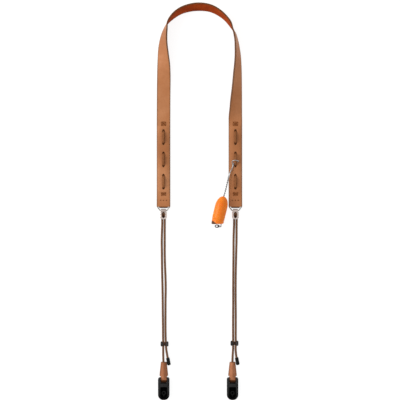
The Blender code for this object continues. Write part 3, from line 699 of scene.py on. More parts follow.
def fibre_material(name, deep, tone, pale, scale, roughness=0.75):
    """Thread, lace or braid: streaks of tone with a dull gloss, and painted shade in grooves and shaded
    places.
    """
    made = Recipe(name, roughness)
    streaks = made.noise(scale, 4.0, 0.65)
    clouds = made.noise(scale / 12, 2.0)
    colour = made.ramp(streaks, [(0.30, deep), (0.50, tone), (0.72, pale)])
    colour = made.blend(made.fit(clouds, 0.35, 0.70, 0.0, 0.35), colour, deep)
    # Painted shade: darker in the braid's grooves and along the lace's sides and ends, near black inside the
    # eye.
    colour = made.blend(made.stored("groove"), colour, deep)
    colour = made.blend(made.stored("shade"), colour, (0.008, 0.002, 0.001))
    made.set("Base Color", colour)
    made.set("Specular IOR Level", 0.10)
    made.relief((streaks, 0.35, 0.00010))
    return made.material


def metal_material(name, deep, tone, roughness):
    """Satin metal with fine brushing, a few duller places and painted brown-black shade in hollows."""
    made = Recipe(name, roughness, 1.0, (1.0, 6.0, 1.0))
    brushing = made.noise(1500.0, 3.0, 0.6)
    dull = made.noise(90.0, 3.0, 0.6)
    colour = made.ramp(dull, [(0.30, deep), (0.62, tone)])
    # Painted shade: brown-black inside hollows.
    made.set("Base Color", made.blend(made.stored("shaded_places"), colour, (0.05, 0.012, 0.006)))
    made.set("Roughness", made.fit(dull, 0.3, 0.7, roughness - 0.05, roughness + 0.12))
    made.relief((brushing, 0.12, 0.00004))
    return made.material


def plastic_material(name, deep, tone, roughness, gloss):
    """Moulded plastic with an eroded texture, faint rubbed places and painted black shade in recesses."""
    made = Recipe(name, roughness)
    grit = made.noise(2200.0, 3.0, 0.6)
    rubbed = made.noise(120.0, 4.0, 0.6)
    shaded_places = made.stored("shaded_places")
    colour = made.ramp(rubbed, [(0.35, deep), (0.68, tone)])
    # Painted shade: near black and without gloss where the pocket, notch and sloped end are marked.
    made.set("Base Color", made.blend(shaded_places, colour, (0.0012, 0.0012, 0.0013)))
    made.set("Specular IOR Level", made.fit(shaded_places, 0.0, 1.0, gloss, 0.01))
    made.set("Roughness", made.fit(rubbed, 0.3, 0.7, roughness + 0.06, roughness - 0.08))
    made.relief((grit, 0.30, 0.00004))
    return made.material


def slider_material():
    """Grey-black lobes, worn brown where the cords pass."""
    made = Recipe("slider_finish", 0.5)
    grit = made.noise(2200.0, 3.0, 0.6)
    rubbed = made.noise(300.0, 4.0, 0.6)
    lobes = made.ramp(rubbed, [(0.35, (0.023, 0.022, 0.021)), (0.68, (0.046, 0.045, 0.043))])
    waist = made.ramp(rubbed, [(0.35, (0.022, 0.010, 0.005)), (0.68, (0.045, 0.022, 0.012))])
    made.set("Base Color", made.blend(made.stored("waist"), lobes, waist))
    made.set("Specular IOR Level", 0.10)
    made.relief((grit, 0.30, 0.00004))
    return made.material


def capsule_material():
    """Glossy orange shell, with painted dark brown shade where its mouth shows at the slanted foot."""
    made = Recipe("orange_shell", 0.32)
    clouds = made.noise(60.0, 3.0)
    grit = made.noise(2600.0, 2.0)
    colour = made.ramp(clouds, [(0.32, (0.78, 0.178, 0.014)), (0.68, (0.84, 0.220, 0.018))])
    # Painted shade: dark brown where the shaded inside of the mouth shows.
    made.set("Base Color", made.blend(made.stored("mouth"), colour, (0.11, 0.033, 0.004)))
    made.set("Specular IOR Level", 0.15)
    made.set("Subsurface Weight", 0.25)
    made.set("Subsurface Radius", (1.0, 0.35, 0.08))
    made.set("Subsurface Scale", 0.003)
    made.set("Roughness", made.fit(clouds, 0.3, 0.7, 0.28, 0.38))
    made.relief((grit, 0.12, 0.00004))
    return made.material


materials = {
    # The band's last two values are the colour of its painted fold shade and how far a painted shade deepens
    # it towards the right leg.
    "band": leather_material(
        "band_leather_finish",
        (0.355, 0.130, 0.046), (0.442, 0.174, 0.068), (0.52, 0.230, 0.105), (0.15, 0.068, 0.028), 0.50,
        (0.080, 0.024, 0.004), 0.3,
    ),
    "suede": suede_material(
        "suede_finish",
        (0.21, 0.021, 0.0015), (0.30, 0.035, 0.002), (0.38, 0.055, 0.004), (0.17, 0.050, 0.016),
    ),
    "lace": fibre_material(
        "lace_finish", (0.12, 0.036, 0.009), (0.29, 0.112, 0.040), (0.36, 0.150, 0.060), 900.0, 0.6
    ),
    "tack": fibre_material(
        "tack_thread_finish", (0.15, 0.042, 0.010), (0.245, 0.080, 0.021), (0.32, 0.115, 0.035), 1800.0
    ),
    "row": fibre_material(
        "row_thread_finish", (0.07, 0.020, 0.005), (0.13, 0.040, 0.010), (0.18, 0.060, 0.018), 1800.0
    ),
    "tab": leather_material(
        "tab_leather_finish",
        (0.29, 0.100, 0.040), (0.37, 0.138, 0.060), (0.44, 0.180, 0.085), (0.20, 0.085, 0.038), 0.48,
        (0.018, 0.006, 0.002),
    ),
    "tab_thread": fibre_material(
        "tab_thread_finish", (0.14, 0.05, 0.025), (0.28, 0.115, 0.055), (0.38, 0.18, 0.09), 1800.0
    ),
    "metal": metal_material("nickel_finish", (0.53, 0.44, 0.40), (0.77, 0.66, 0.60), 0.26),
    "ring": metal_material("ring_finish", (0.30, 0.29, 0.26), (0.50, 0.48, 0.44), 0.30),
    "cord": fibre_material(
        "cord_braid_finish", (0.095, 0.043, 0.022), (0.190, 0.093, 0.048), (0.25, 0.132, 0.072), 1400.0
    ),
    "black": plastic_material(
        "black_plastic_finish", (0.010, 0.010, 0.010), (0.022, 0.022, 0.022), 0.46, 0.18
    ),
    "bead": plastic_material("bead_plastic_finish", (0.003, 0.004, 0.003), (0.008, 0.009, 0.008), 0.40, 0.10),
    "slider": slider_material(),
    "wire": metal_material("steel_wire_finish", (0.30, 0.30, 0.30), (0.48, 0.48, 0.48), 0.34),
    "key_ring": metal_material("key_ring_finish", (0.030, 0.024, 0.024), (0.095, 0.080, 0.080), 0.40),
    "orange": capsule_material(),
}


# Camera


def place_camera():
    """Above the middle of the strap, looking straight down."""
    data = bpy.data.cameras.new("camera")
    data.sensor_width = 36.0
    data.lens = 100.6
    camera = bpy.data.objects.new("camera", data)
    bpy.context.scene.collection.objects.link(camera)
    camera.location = (0.0009, 0.0034, 1.9)
    bpy.context.scene.camera = camera


# Cords, with their sliders and end beads

braid_strands = 8
braid_pitch = 0.0052
braid_depth = 0.00011


def braid(angle, along):
    """Diamonds of a round braid: eight strands each way round the cord."""
    turn = 2 * math.pi * along / braid_pitch
    one_way = np.cos(braid_strands / 2 * angle + turn)
    other_way = np.cos(braid_strands / 2 * angle - turn)
    return braid_depth * (np.abs(one_way * other_way) ** 0.7 - 0.85)


def make_cord(side):
    name = f"cord_{side}_braid"
    line = smooth_rows(cord_routes[side], 0.00042)
    mesh = bar(name, line, cord_diameter / 2, cord_sides, relief=braid)
    angles = np.array([around(cord_sides)])
    lift = braid(angles, distances(line)[:, None]) / braid_depth
    # Painted shade in the braid's grooves between strands.
    paint(mesh, "groove", 0.6 * np.clip(-0.1 - 1.1 * lift, 0.0, 1.0))
    # Painted shade on the cord inside the eye, under the eye's plate.
    above_foot = line[:, 1:2] - eye_foot
    held = smoothstep(0.0066, 0.0042, above_foot) * smoothstep(-0.0010, 0.0, above_foot)
    paint(mesh, "shade", 0.9 * held * np.ones_like(angles))
    return dress(name, mesh, "cord", ["cord_" + side])


def lock_mesh():
    """A spool across the two strands, with a slot for them through its waist."""
    half = lock_width / 2
    rise = [(0.0, 1.0), (0.55, 1.0), (0.75, 0.985), (0.90, 0.93)]
    rise += [(0.98, 0.85), (1.0, 0.75), (0.985, 0.64), (0.93, 0.56)]
    profile = [(lock_lobe * radius, -half * x) for radius, x in rise]
    profile.append((lock_waist + 0.0002, -0.49 * half))
    profile += [(lock_waist, -share * half) for share in (0.43, 0.36, 0.30, 0.24, 0.18, 0.05)]
    profile += [(radius, -x) for radius, x in profile[::-1]]
    spool = turned("spool", profile, 56)
    spool.transform(Matrix.Rotation(math.pi / 2, 4, "Y"))
    outline = []
    for reach, start in ((lock_spacing / 2, -90), (-lock_spacing / 2, 90)):
        for k in range(15):
            a = math.radians(start + 180 * k / 14)
            outline.append((reach + cord_bore * math.cos(a), cord_bore * math.sin(a)))
    slot = [[(x, y, z) for x, z in outline] for y in (-2 * lock_lobe, 2 * lock_lobe)]
    return combined("cord_lock_moulding", spool, [("DIFFERENCE", slot)])


def make_lock(side):
    mesh = lock_mesh()
    paint(mesh, "waist", [1.0 - smoothstep(0.24, 0.40, abs(v.co.x) / lock_width * 2) for v in mesh.vertices])
    place = (lock_axis[side], -lock_drop[side], lock_lobe)
    piece = dress("slider_" + side, mesh, "slider", ["cord_lock_" + side], place)
    soften(piece, lock_round)
    return piece


def make_bead(side):
    """The tapered bead on the cord's free end, with a shallow waist below its mouth."""
    outside = [(bead_neck - 0.0002, 0.0), (bead_neck, 0.0004), (bead_neck + 0.0001, 0.0016)]
    shares = [(0.97, 0.40), (0.99, 0.66), (1.0, 0.80), (0.92, 0.92), (0.70, 0.985), (0.30, 1.0)]
    outside += [(across * bead_radius, along * bead_length) for across, along in shares]
    profile = [(0.0, bead_bore_depth), (cord_bore, bead_bore_depth), (cord_bore, 0.0)]
    profile += map(tuple, smooth_rows(outside, 0.0006, 2))
    mesh = turned("bead", profile + [(0.0, bead_length)], 40)
    end = Vector(cord_routes[side][-1])
    heading = end - Vector(cord_routes[side][-2])
    heading.z = 0.0
    heading.normalize()
    mouth = end - heading * (bead_bore_depth - clearance)
    place = (mouth.x, mouth.y, bead_radius)
    turn = heading.to_track_quat("Z", "Y")
    return dress("end_bead_" + side, mesh, "bead", ["cord_end_" + side], place, turn)


def make_cords():
    for side in both:
        piece = make_cord(side)
        others = [make_lock(side), make_bead(side)]


# Band and lining. A station is a cut across the strip: the corner of its outer face at the leg's
# outer edge, the direction across, the outer face's normal, the notch at each edge and the crown.


def leg_gap(y):
    """Gap between the flap and the outer layer at the band's edges, at a height on the leg."""
    return clearance + (2 * fold_inner - clearance) * (1.0 - smoothstep(0.001, fold_rise_length, y))


def leg_crown(y):
    """How far the lacing lifts the middle of the outer layer."""
    reach = lace_span / 2 + 0.005
    low = lace_centres[0] - reach
    high = lace_centres[-1] + reach
    return crown * smoothstep(low - 0.007, low, y) * (1.0 - smoothstep(high, high + 0.007, y))


def leg_stations(side):
    """From the flap's free end down to the fold, round the ring and up the outer layer."""
    sign = -1.0 if side == "left" else 1.0
    edge = sign * outer_half
    across = Vector((-sign, 0.0, 0.0))
    stations = []
    for y in np.linspace(flap_length, 0.0, 40)[:-1]:
        stations.append((Vector((edge, y, 0.0)), across, Vector((0, 0, -1)), 0.0, 0.0))
    cut, whole = fold_notch_turns
    turns = [-90, -82, -whole] + list(np.linspace(-cut, cut, 19)) + [whole, 82, 90]
    for degrees in turns:
        a = math.radians(degrees)
        normal = Vector((0.0, -math.cos(a), math.sin(a)))
        corner = Vector((edge, 0.0, ring_height)) + normal * fold_outer
        notch = fold_notch_width if abs(degrees) <= cut else 0.0
        stations.append((corner, across, normal, notch, 0.0))
    for y in np.linspace(0.0, flap_length, 100)[1:-1]:
        corner = Vector((edge, y, leather + float(leg_gap(y)) + leather))
        stations.append((corner, across, Vector((0, 0, 1)), 0.0, float(leg_crown(y))))
    return stations


def arch_stations():
    """Each station along the arch, and its distance from the nearer leg."""
    table = left_arch + right_arch[::-1]
    rows = [(x * outer_half, flap_length + y * arch_height, lean) for x, y, lean in table]
    rows = smooth_rows(rows, 0.0028, 2)
    places = [Vector((row[0], row[1], 0.0)) for row in rows]
    stations = []
    travelled = distances(rows[:, :2])
    for i, row in enumerate(rows):
        along = (places[min(i + 1, len(places) - 1)] - places[max(i - 1, 0)]).normalized()
        inward = Vector((along.y, -along.x, 0.0))
        lean = math.radians(max(row[2], 0.0))
        across = inward * math.cos(lean) + Vector((0, 0, math.sin(lean)))
        normal = -inward * math.sin(lean) + Vector((0, 0, math.cos(lean)))
        from_leg = min(travelled[i], travelled[-1] - travelled[i])
        over_flap = 1.0 - float(smoothstep(0.002, layer_blend, from_leg))
        depth = leather + clearance + lining + (leather - lining) * over_flap
        corner = places[i] + Vector((0, 0, max(depth * math.cos(lean), 0.0)))
        stations.append((corner, across, normal, from_leg))
    return stations


def strip_profile(half, thickness):
    """A rounded strip's outline: places across it and depths below its outer face."""
    flat = half - edge_round
    face = [(flat * k / 9, 0.0) for k in range(-9, 10)]
    corner = [
        (flat + edge_round * math.cos(a), thickness / 2 * (math.sin(a) - 1))
        for a in (math.radians(60 - 30 * k) for k in range(5))
    ]
    inner = [(u, -thickness) for u, _ in face[::-1]]
    other = [(-u, h) for u, h in corner[::-1]]
    return np.array(face + corner + inner + other)


def strip_sections(stations, width, thickness):
    """Sections of the strip, how near their points are to a cut edge, and how much painted shade they get in
    a fold.
    """
    sections = []
    nearness = []
    shade = []
    for corner, across, normal, notch, lift in stations:
        half = width / 2 - notch
        profile = strip_profile(half, thickness)
        middle = np.array(corner + across * (width / 2))
        rise = lift * (1.0 - np.abs(profile[:, 0] / half) ** crown_power) + profile[:, 1]
        sections.append(middle + profile[:, :1] * np.array(across) + rise[:, None] * np.array(normal))
        nearness.append(1.0 - smoothstep(0.0004, 0.0022, half - np.abs(profile[:, 0])))
        # Painted shade on the part of a fold that faces down the leg, below the ring.
        folded = float(smoothstep(0.02, 0.40, -normal.y)) if abs(normal.x) < 0.001 else 0.0
        shade.append(np.full(len(profile), fold_shade * folded))
    return np.array(sections), np.array(nearness), np.array(shade)


def pull_in(sections):
    """Sinks the outer layer a little where the lace goes through it."""
    on_top = sections[..., 2] > leather + clearance
    for x, y in lace_holes:
        apart = np.hypot(sections[..., 0] - x, sections[..., 1] - y)
        sunk = lace_sink * np.exp(-((apart / lace_sink_reach) ** 2))
        sections[..., 2] -= np.where(on_top, sunk, 0.0)


def make_band():
    arch = [(corner, across, normal, 0.0, 0.0) for corner, across, normal, _ in arch_stations()]
    stations = leg_stations("left") + arch + leg_stations("right")[::-1]
    sections, nearness, shade = strip_sections(stations, band_width, leather)
    pull_in(sections)
    strip = skin("band_strip", [sections], crease_degrees=60.0)
    tree = KDTree(sections.size // 3)
    for i, point in enumerate(sections.reshape(-1, 3)):
        tree.insert(point, i)
    tree.balance()
    cutters = []
    for x, y in lace_holes:
        outline = ellipse(x, y, lace_hole_width / 2, lace_hole_length / 2)
        cutters.append(raised(outline, leather + clearance, 0.012))
    mesh = combined("band_strip", strip, [("DIFFERENCE", *cutters)], 60.0)
    values = []
    shades = []
    for vertex in mesh.vertices:
        nearest = tree.find(vertex.co)[1]
        near = nearness.ravel()[nearest]
        shades.append(shade.ravel()[nearest])
        for x, y in lace_holes:
            sideways = 2 * (vertex.co.x - x) / lace_hole_width
            along = 2 * (vertex.co.y - y) / lace_hole_length
            if abs(math.hypot(sideways, along) - 1.0) < 0.04:
                near = 1.0
        values.append(near)
    paint(mesh, "edge", values)
    paint(mesh, "shade", shades)
    return dress("leather_band", mesh, "band", ["neck_band"])


def make_lining():
    """The lining under the band, from the end of one flap to the end of the other."""
    stations = []
    for corner, across, normal, from_leg in arch_stations():
        face = corner - normal * (leather + clearance)
        if from_leg < clearance:
            face.y += clearance
        stations.append((face, across, normal, 0.0, 0.0))
    sections, nearness, _ = strip_sections(stations, band_width, lining)
    mesh = skin("suede_lining", [sections], crease_degrees=60.0)
    paint(mesh, "edge", nearness)
    dress("suede_lining", mesh, "suede", ["band_lining"])


def lace_rows(lifted):
    """The lace's y, z, width and height, from its upper end down. lifted is the raised loop's number."""
    inside = leather + clearance + lace_height / 2
    in_leather = leather + clearance + crown + leather / 2
    half = lace_span / 2
    rows = []
    for number, centre in reversed(list(enumerate(lace_centres))):
        lift = lace_raise if number == lifted else 0.0
        top = lace_surface + clearance + lace_loop_height / 2 + lift
        shoulder = lace_surface + clearance + 0.45 * lace_loop_height + 0.6 * lift
        going_down = [
            (half + 0.0042, inside, 0.0036, lace_height),
            (half + 0.0026, inside, 0.0034, 0.0016),
            (half + 0.0009, inside + 0.0007, 0.0030, 0.0016),
            (half - 0.0005, in_leather + 0.0003, 0.0028, 0.0016),
            (half - 0.0020, lace_surface + 0.0011, 0.0032, 0.0018),
            (half - 0.0048, shoulder, 0.0040, 0.0026),
        ]
        rows += [(centre + dy, *rest) for dy, *rest in going_down]
        rows.append((centre, top, lace_loop_width, lace_loop_height))
        rows += [(centre - dy, *rest) for dy, *rest in going_down[::-1]]
    return rows


def make_lacing():
    for side, lifted in (("left", None), ("right", 1)):
        rows = smooth_rows(lace_rows(lifted), 0.0006, 2)
        centres = [(leg_axis[side], y, z) for y, z, _, _ in rows]
        sections = tube(centres, rows[:, 2:] / 2, cord_sides, (1, 0, 0))
        mesh = skin("lace_" + side, [sections], crease_degrees=180.0)
        # Painted shade along the lace's sides and where it sinks into the leather through the holes.
        rim = np.abs(np.cos(around(cord_sides))) ** 3 * np.ones((len(rows), 1))
        sunk = 1.0 - smoothstep(-0.0004, 0.0016, rows[:, 1:2] - lace_surface)
        paint(mesh, "groove", np.maximum(0.8 * rim, sunk))
        dress("lace_" + side, mesh, "lace", ["lacing_" + side])


# Stitches


def surface_finder(piece):
    """A function that gives the highest point of the piece above a place, and its normal."""
    tree = BVHTree.FromPolygons(
        [vertex.co for vertex in piece.data.vertices],
        [tuple(face.vertices) for face in piece.data.polygons],
    )

    def find(x, y):
        place = Vector((x, y, 0.0)) + strap_origin
        hit, normal, _, _ = tree.ray_cast(place + Vector((0, 0, 0.1)), Vector((0, 0, -1)))
        return hit - strap_origin, normal

    return find


def stitch(find, start, end, thread):
    """Sections of one stitch that lies on a surface between two needle holes."""
    points = []
    halves = []
    for k in range(9):
        share = k / 8
        bend = math.sin(math.pi * share) ** 0.5
        point, normal = find(*(start + (end - start) * share))
        points.append(point + normal * (thread * (0.45 * bend - 0.30)))
        half = thread / 2 * (0.72 + 0.28 * bend)
        halves.append((half, half * 0.86))
    return tube(points, halves, 10)


def stitched_line(find, start, end, thread, length):
    """Stitches end to end along a straight run, with a short gap between them."""
    start = np.array(start)
    run = np.array(end) - start
    count = max(1, round(math.hypot(*run) / length))
    return [
        stitch(find, start + run * ((i + 0.06) / count), start + run * ((i + 0.94) / count), thread)
        for i in range(count)
    ]


def sew(name, stitches, finish):
    dress(name, skin(name, stitches, crease_degrees=180.0), finish)


def make_tacks(find):
    """The dense crossed boxes at the top and foot of each lacing."""
    even = (-1.0, -0.5, 0.0, 0.5, 1.0)
    boxes = [
        ("top", tack_top, 0.0040, 0.0034, even, even),
        ("foot", tack_foot, 0.0038, 0.0032, (-1.0, -0.4, 0.1, 0.6, 1.0), (-0.5, -0.1, 0.3)),
    ]
    for side in both:
        for name, middle, half_x, half_y, columns, rows in boxes:
            runs = [((share, -1), (share, 1), 0.0024) for share in columns]
            runs += [((-1, share), (1, share), 0.0027) for share in rows]
            runs += [((-hand, -1), (hand, 1), 0.0036) for hand in (-1, 1)]
            stitches = []
            for *ends, length in runs:
                start, end = [(leg_axis[side] + u * half_x, middle + v * half_y) for u, v in ends]
                stitches += stitched_line(find, start, end, tack_thread, length)
            sew(f"tack_{name}_{side}", stitches, "tack")


def make_rows(find):
    """The row of three short stitches across each leg, just above the ring."""
    half = np.array((row_stitch / 2, 0.0))
    for side in both:
        middles = [np.array((leg_axis[side] + step * row_pitch, row_height)) for step in (-1, 0, 1)]
        stitches = [stitch(find, middle - half, middle + half, row_thread) for middle in middles]
        sew("row_" + side, stitches, "row")


# Metal ring and cord eye


def ring_centreline():
    """The ring's wire, round its four corners, with its upper bar at y = 0."""
    foot = knuckle_width / 2 + clearance + 0.0012
    corners = [(-ring_half_width, 0.0), (ring_half_width, 0.0), (foot, -ring_drop), (-foot, -ring_drop)]
    points = []
    for i, corner in enumerate(corners):
        here = Vector(corner)
        back = (Vector(corners[i - 1]) - here).normalized()
        ahead = (Vector(corners[(i + 1) % 4]) - here).normalized()
        opening = back.angle(ahead)
        centre = here + (back + ahead).normalized() * (ring_corner / math.sin(opening / 2))
        start = here + back * (ring_corner / math.tan(opening / 2)) - centre
        for k in range(9):
            spun = Matrix.Rotation(-(math.pi - opening) * k / 8, 2) @ start
            points.append((centre.x + spun.x, centre.y + spun.y, 0.0))
    return points


def eye_mesh():
    """The eye about its ring's axis: a knuckle on the ring and a hollow body, open below."""
    body = soft_block(eye_width / 2, eye_foot, eye_top, eye_corner, 0.0020, 0.0, eye_thickness, 0.0007)
    knuckle = rod_along_x(-ring_drop, ring_height, knuckle_radius, knuckle_width / 2)
    bore = rod_along_x(-ring_drop, ring_height, fold_inner, eye_width)
    hollow_half = (strand_spacing + cord_diameter) / 2 + clearance + 0.0001
    hollow_top = eye_top - eye_wall
    outline = rounded_rectangle(hollow_half, eye_foot - 0.001, hollow_top, 0.0001, 0.0008)
    hollow = raised(outline, eye_wall, eye_thickness - eye_wall)
    low = eye_foot + window_rim
    high = hollow_top + 0.0001
    outline = ellipse(0.0, (low + high) / 2, window_width / 2, (high - low) / 2, 40)
    window = raised(outline, eye_thickness / 2, eye_thickness + 0.001)
    return combined("eye_shell", skin("eye_body", [body]), [
        ("UNION", knuckle),
        ("DIFFERENCE", bore),
        ("DIFFERENCE", hollow),
        ("DIFFERENCE", window),
    ])


def mark_hollow(mesh):
    """Marks the inside of the eye's body for painted shade."""
    values = []
    for vertex in mesh.vertices:
        x, y, z = vertex.co
        within = eye_wall - 0.0001 < z < eye_thickness - eye_wall + 0.0001
        values.append(float(within and abs(x) < eye_width / 2 - 0.0005 and y < eye_top - 0.0005))
    paint(mesh, "shaded_places", values)


def make_metal():
    for side in both:
        mesh = bar("ring_bar", ring_centreline(), ring_wire / 2, 24, closed=True)
        place = (leg_axis[side], 0, ring_height)
        dress("wire_ring_" + side, mesh, "ring", ["ring_" + side], place)
        mesh = eye_mesh()
        mark_hollow(mesh)
        place = (leg_axis[side], 0, 0)
        piece = dress("cord_eye_shell_" + side, mesh, "metal", ["cord_eye_" + side], place)
        soften(piece, eye_round)


# Tab and connector


def tab_layer(drop):
    """The tab's width, its middle plane's height, half its gap and its bulge at a drop."""
    widening = min((drop - tab_drop) / (tab_wide_drop - tab_drop), 1.0)
    width = tab_top_width + (tab_wide - tab_top_width) * widening
    shoulder = float(smoothstep(tab_shoulder_drop - 0.0010, tab_shoulder_drop, drop))
    width += (tongue_width - width) * shoulder
    near_hinge = float(smoothstep(tab_wide_drop, hinge_drop, drop))
    half_gap = clearance / 2 + (pin_gap - clearance / 2) * near_hinge
    low = (hinge_height - pin_gap - tab_leather) * near_hinge
    middle = low + tab_leather + half_gap
    bulge = (cord_diameter + clearance) * (1.0 - near_hinge)
    return width, middle, half_gap, bulge


def tab_sections():
    """Down the tab's upper layer, round the hinge pin and back up its lower layer."""
    drops = list(np.linspace(tab_drop, tab_shoulder_drop - 0.0012, 24))
    drops += list(np.linspace(tab_shoulder_drop - 0.0010, tab_shoulder_drop, 5))
    drops += list(np.linspace(tab_shoulder_drop, hinge_drop, 12)[1:-1])
    rows = []
    for drop in drops:
        width, middle, half_gap, bulge = tab_layer(drop)
        rows.append((width, (0.0, -drop, middle + half_gap + tab_leather), (0, 0, 1), bulge))
    for i in range(17):
        a = math.radians(90 - 180 * i / 16)
        normal = Vector((0.0, -math.cos(a), math.sin(a)))
        place = Vector((0.0, -hinge_drop, hinge_height)) + normal * (pin_gap + tab_leather)
        rows.append((tongue_width, tuple(place), tuple(normal), 0.0))
    for drop in drops[::-1]:
        width, middle, half_gap, _ = tab_layer(drop)
        rows.append((width, (0.0, -drop, middle - half_gap - tab_leather), (0, 0, -1), 0.0))
    sections = []
    nearness = []
    shade = []
    for width, place, normal, bulge in rows:
        half = width / 2
        profile = strip_profile(half, tab_leather)
        u = np.abs(profile[:, 0])
        shape = np.exp(-((u / tab_bulge) ** 2.6)) * (1.0 - (u / half) ** 6)
        rise = bulge * shape + profile[:, 1]
        sections.append(place + profile[:, :1] * (1.0, 0.0, 0.0) + rise[:, None] * normal)
        near = 1.0 - smoothstep(0.0002, 0.0013, half - u)
        cut = 1.0 - float(smoothstep(0.0, 0.0012, -place[1] - tab_drop))
        nearness.append(np.maximum(near, cut))
        # Painted shadow where the tongue folds round the hinge pin in the notch.
        folded = float(smoothstep(-0.0030, -0.0008, -place[1] - hinge_drop))
        shade.append(np.full(len(u), fold_shade * folded))
    return np.array(sections), np.array(nearness), np.array(shade)


def make_tabs():
    sections, nearness, shade = tab_sections()
    for side in both:
        mesh = skin("tab_strip", [sections], crease_degrees=60.0)
        paint(mesh, "edge", nearness)
        paint(mesh, "shade", shade)
        place = (tab_axis[side], 0, 0)
        piece = dress("leather_tab_" + side, mesh, "tab", ["tab_" + side], place)
        find = surface_finder(piece)
        stitches = []
        for hand in (-1, 1):
            ends = []
            for drop in (tab_drop + 0.0016, tab_wide_drop - 0.0010):
                width = tab_layer(drop)[0]
                ends.append((tab_axis[side] + hand * (width / 2 - seam_inset), -drop))
            stitches += stitched_line(find, *ends, seam_thread, seam_stitch)
        sew("tab_stitches_" + side, stitches, "tab_thread")


def connector_mesh():
    """The connector about its hinge pin: horns and pin above, a pocket with its seat below."""
    half = connector_width / 2
    deep = connector_thickness / 2
    floor = -deep + pocket_floor
    body = soft_block(
        half, -connector_foot, horn_length, half - 0.0001, horn_corner, -deep, deep, 0.0011, 5, 16
    )
    notch_half = tongue_width / 2 + tongue_gap
    outline = rounded_rectangle(notch_half, -notch_depth, horn_length + 0.002, 0.0010, 0.0010)
    notch = raised(outline, -deep - 0.001, deep + 0.001)
    ledge_top = -pin_gap - tab_leather - tongue_gap
    outline = rounded_rectangle(notch_half + 0.0002, -notch_depth - 0.0002, ledge_top, 0.0001, 0.0001, 1)
    ledge = raised(outline, -ledge_height / 2, ledge_height / 2)
    pin = rod_along_x(0.0, 0.0, hinge_pin / 2, notch_half + 0.0012)
    pocket_half = pocket_width / 2
    outline = rounded_rectangle(
        pocket_half, -pocket_foot, -pocket_top, pocket_half - 0.0001, pocket_corner, 14
    )
    pocket = raised(outline, floor, deep + 0.001)
    outline = ellipse(0.0, -seat_drop, seat_radius, seat_radius, 48)
    seat = raised(outline, floor - 0.0002, floor + seat_height)
    stem_top = -seat_drop - seat_hole - 0.0006
    outline = rounded_rectangle(seat_stem / 2, -pocket_foot - 0.0004, stem_top, 0.0003, 0.0003)
    stem = raised(outline, floor - 0.0003, floor + 0.9 * seat_height)
    outline = ellipse(0.0, -seat_drop, seat_hole, seat_hole)
    well = raised(outline, floor, floor + seat_height + 0.001)
    return combined("connector_body", skin("housing", [body]), [
        ("DIFFERENCE", notch),
        ("UNION", ledge),
        ("UNION", pin),
        ("DIFFERENCE", pocket),
        ("UNION", seat),
        ("UNION", stem),
        ("DIFFERENCE", well),
    ])


def finish_connector(mesh):
    """Slopes the connector's round end down and paints shade into its pocket, its notch and onto that slope.
    """
    slope_start = -connector_foot + connector_width / 2
    top = connector_thickness / 2
    values = []
    for vertex in mesh.vertices:
        x, y, z = vertex.co
        from_seat = math.hypot(x, y + seat_drop)
        in_pocket = abs(x) < pocket_width / 2 + 0.0001 and -pocket_foot - 0.0001 < y < -pocket_top + 0.0001
        in_notch = abs(x) < tongue_width / 2 + 2 * clearance and y > -notch_depth - 0.0004
        # Painted shade: near black in the pocket and the notch, lighter on the seat's top, and deepening down
        # the round end, which slopes away from the light.
        dark = 0.0
        if in_pocket and z < top - 0.0004:
            dark = 1.0
            if seat_hole - 0.0001 < from_seat < seat_radius + 0.0001 and z > pocket_floor - top + 0.001:
                dark = 0.55
        elif in_notch and z < top - 0.0004:
            dark = 0.95
        elif y < slope_start and z > 0:
            down = (slope_start - y) / (connector_width / 2)
            dark = 0.9 * float(smoothstep(0.0, 0.35, down))
            vertex.co.z -= connector_slope * down * down
        values.append(dark)
    paint(mesh, "shaded_places", values)
    return mesh


def make_connectors():
    for side in both:
        mesh = finish_connector(connector_mesh())
        nodes = ["connector_" + side]
        place = (tab_axis[side], -hinge_drop, hinge_height)
        body = side + "_connector"
        piece = dress("connector_body_" + side, mesh, "black", nodes, place, body=body)
        soften(piece, connector_round)


# Capsule, its wire, its hook and its ring

capsule_up = Vector((math.sin(capsule_lean), math.cos(capsule_lean), 0.0))
capsule_across = Vector((capsule_up.y, -capsule_up.x, 0.0))
capsule_base = Vector((*capsule_foot, capsule_radius))


def foot_slant(rightward):
    """How far the capsule's foot lies above a square cut: it is nearly level with the strap."""
    return rightward * math.tan(capsule_lean) - foot_longer


def slant_foot(mesh, across):
    """Slants the capsule's foot, draws its left side in and paints dark shade where the mouth shows there."""
    values = []
    for vertex in mesh.vertices:
        rightward = vertex.co.dot(across)
        height = vertex.co.z
        # Painted shade: the low part of the left side, where the mouth shows, is marked.
        mouth = mouth_height * float(smoothstep(-0.2, 0.9, -rightward / capsule_radius))
        values.append(1.0 - float(smoothstep(mouth - 0.0008, mouth + 0.0002, height)))
        near_foot = 1.0 - float(smoothstep(0.0, foot_reach, height))
        vertex.co.z += foot_slant(rightward) * near_foot
        vertex.co += across * (near_foot * foot_taper * max(0.0, -rightward / capsule_radius))
    paint(mesh, "mouth", values)


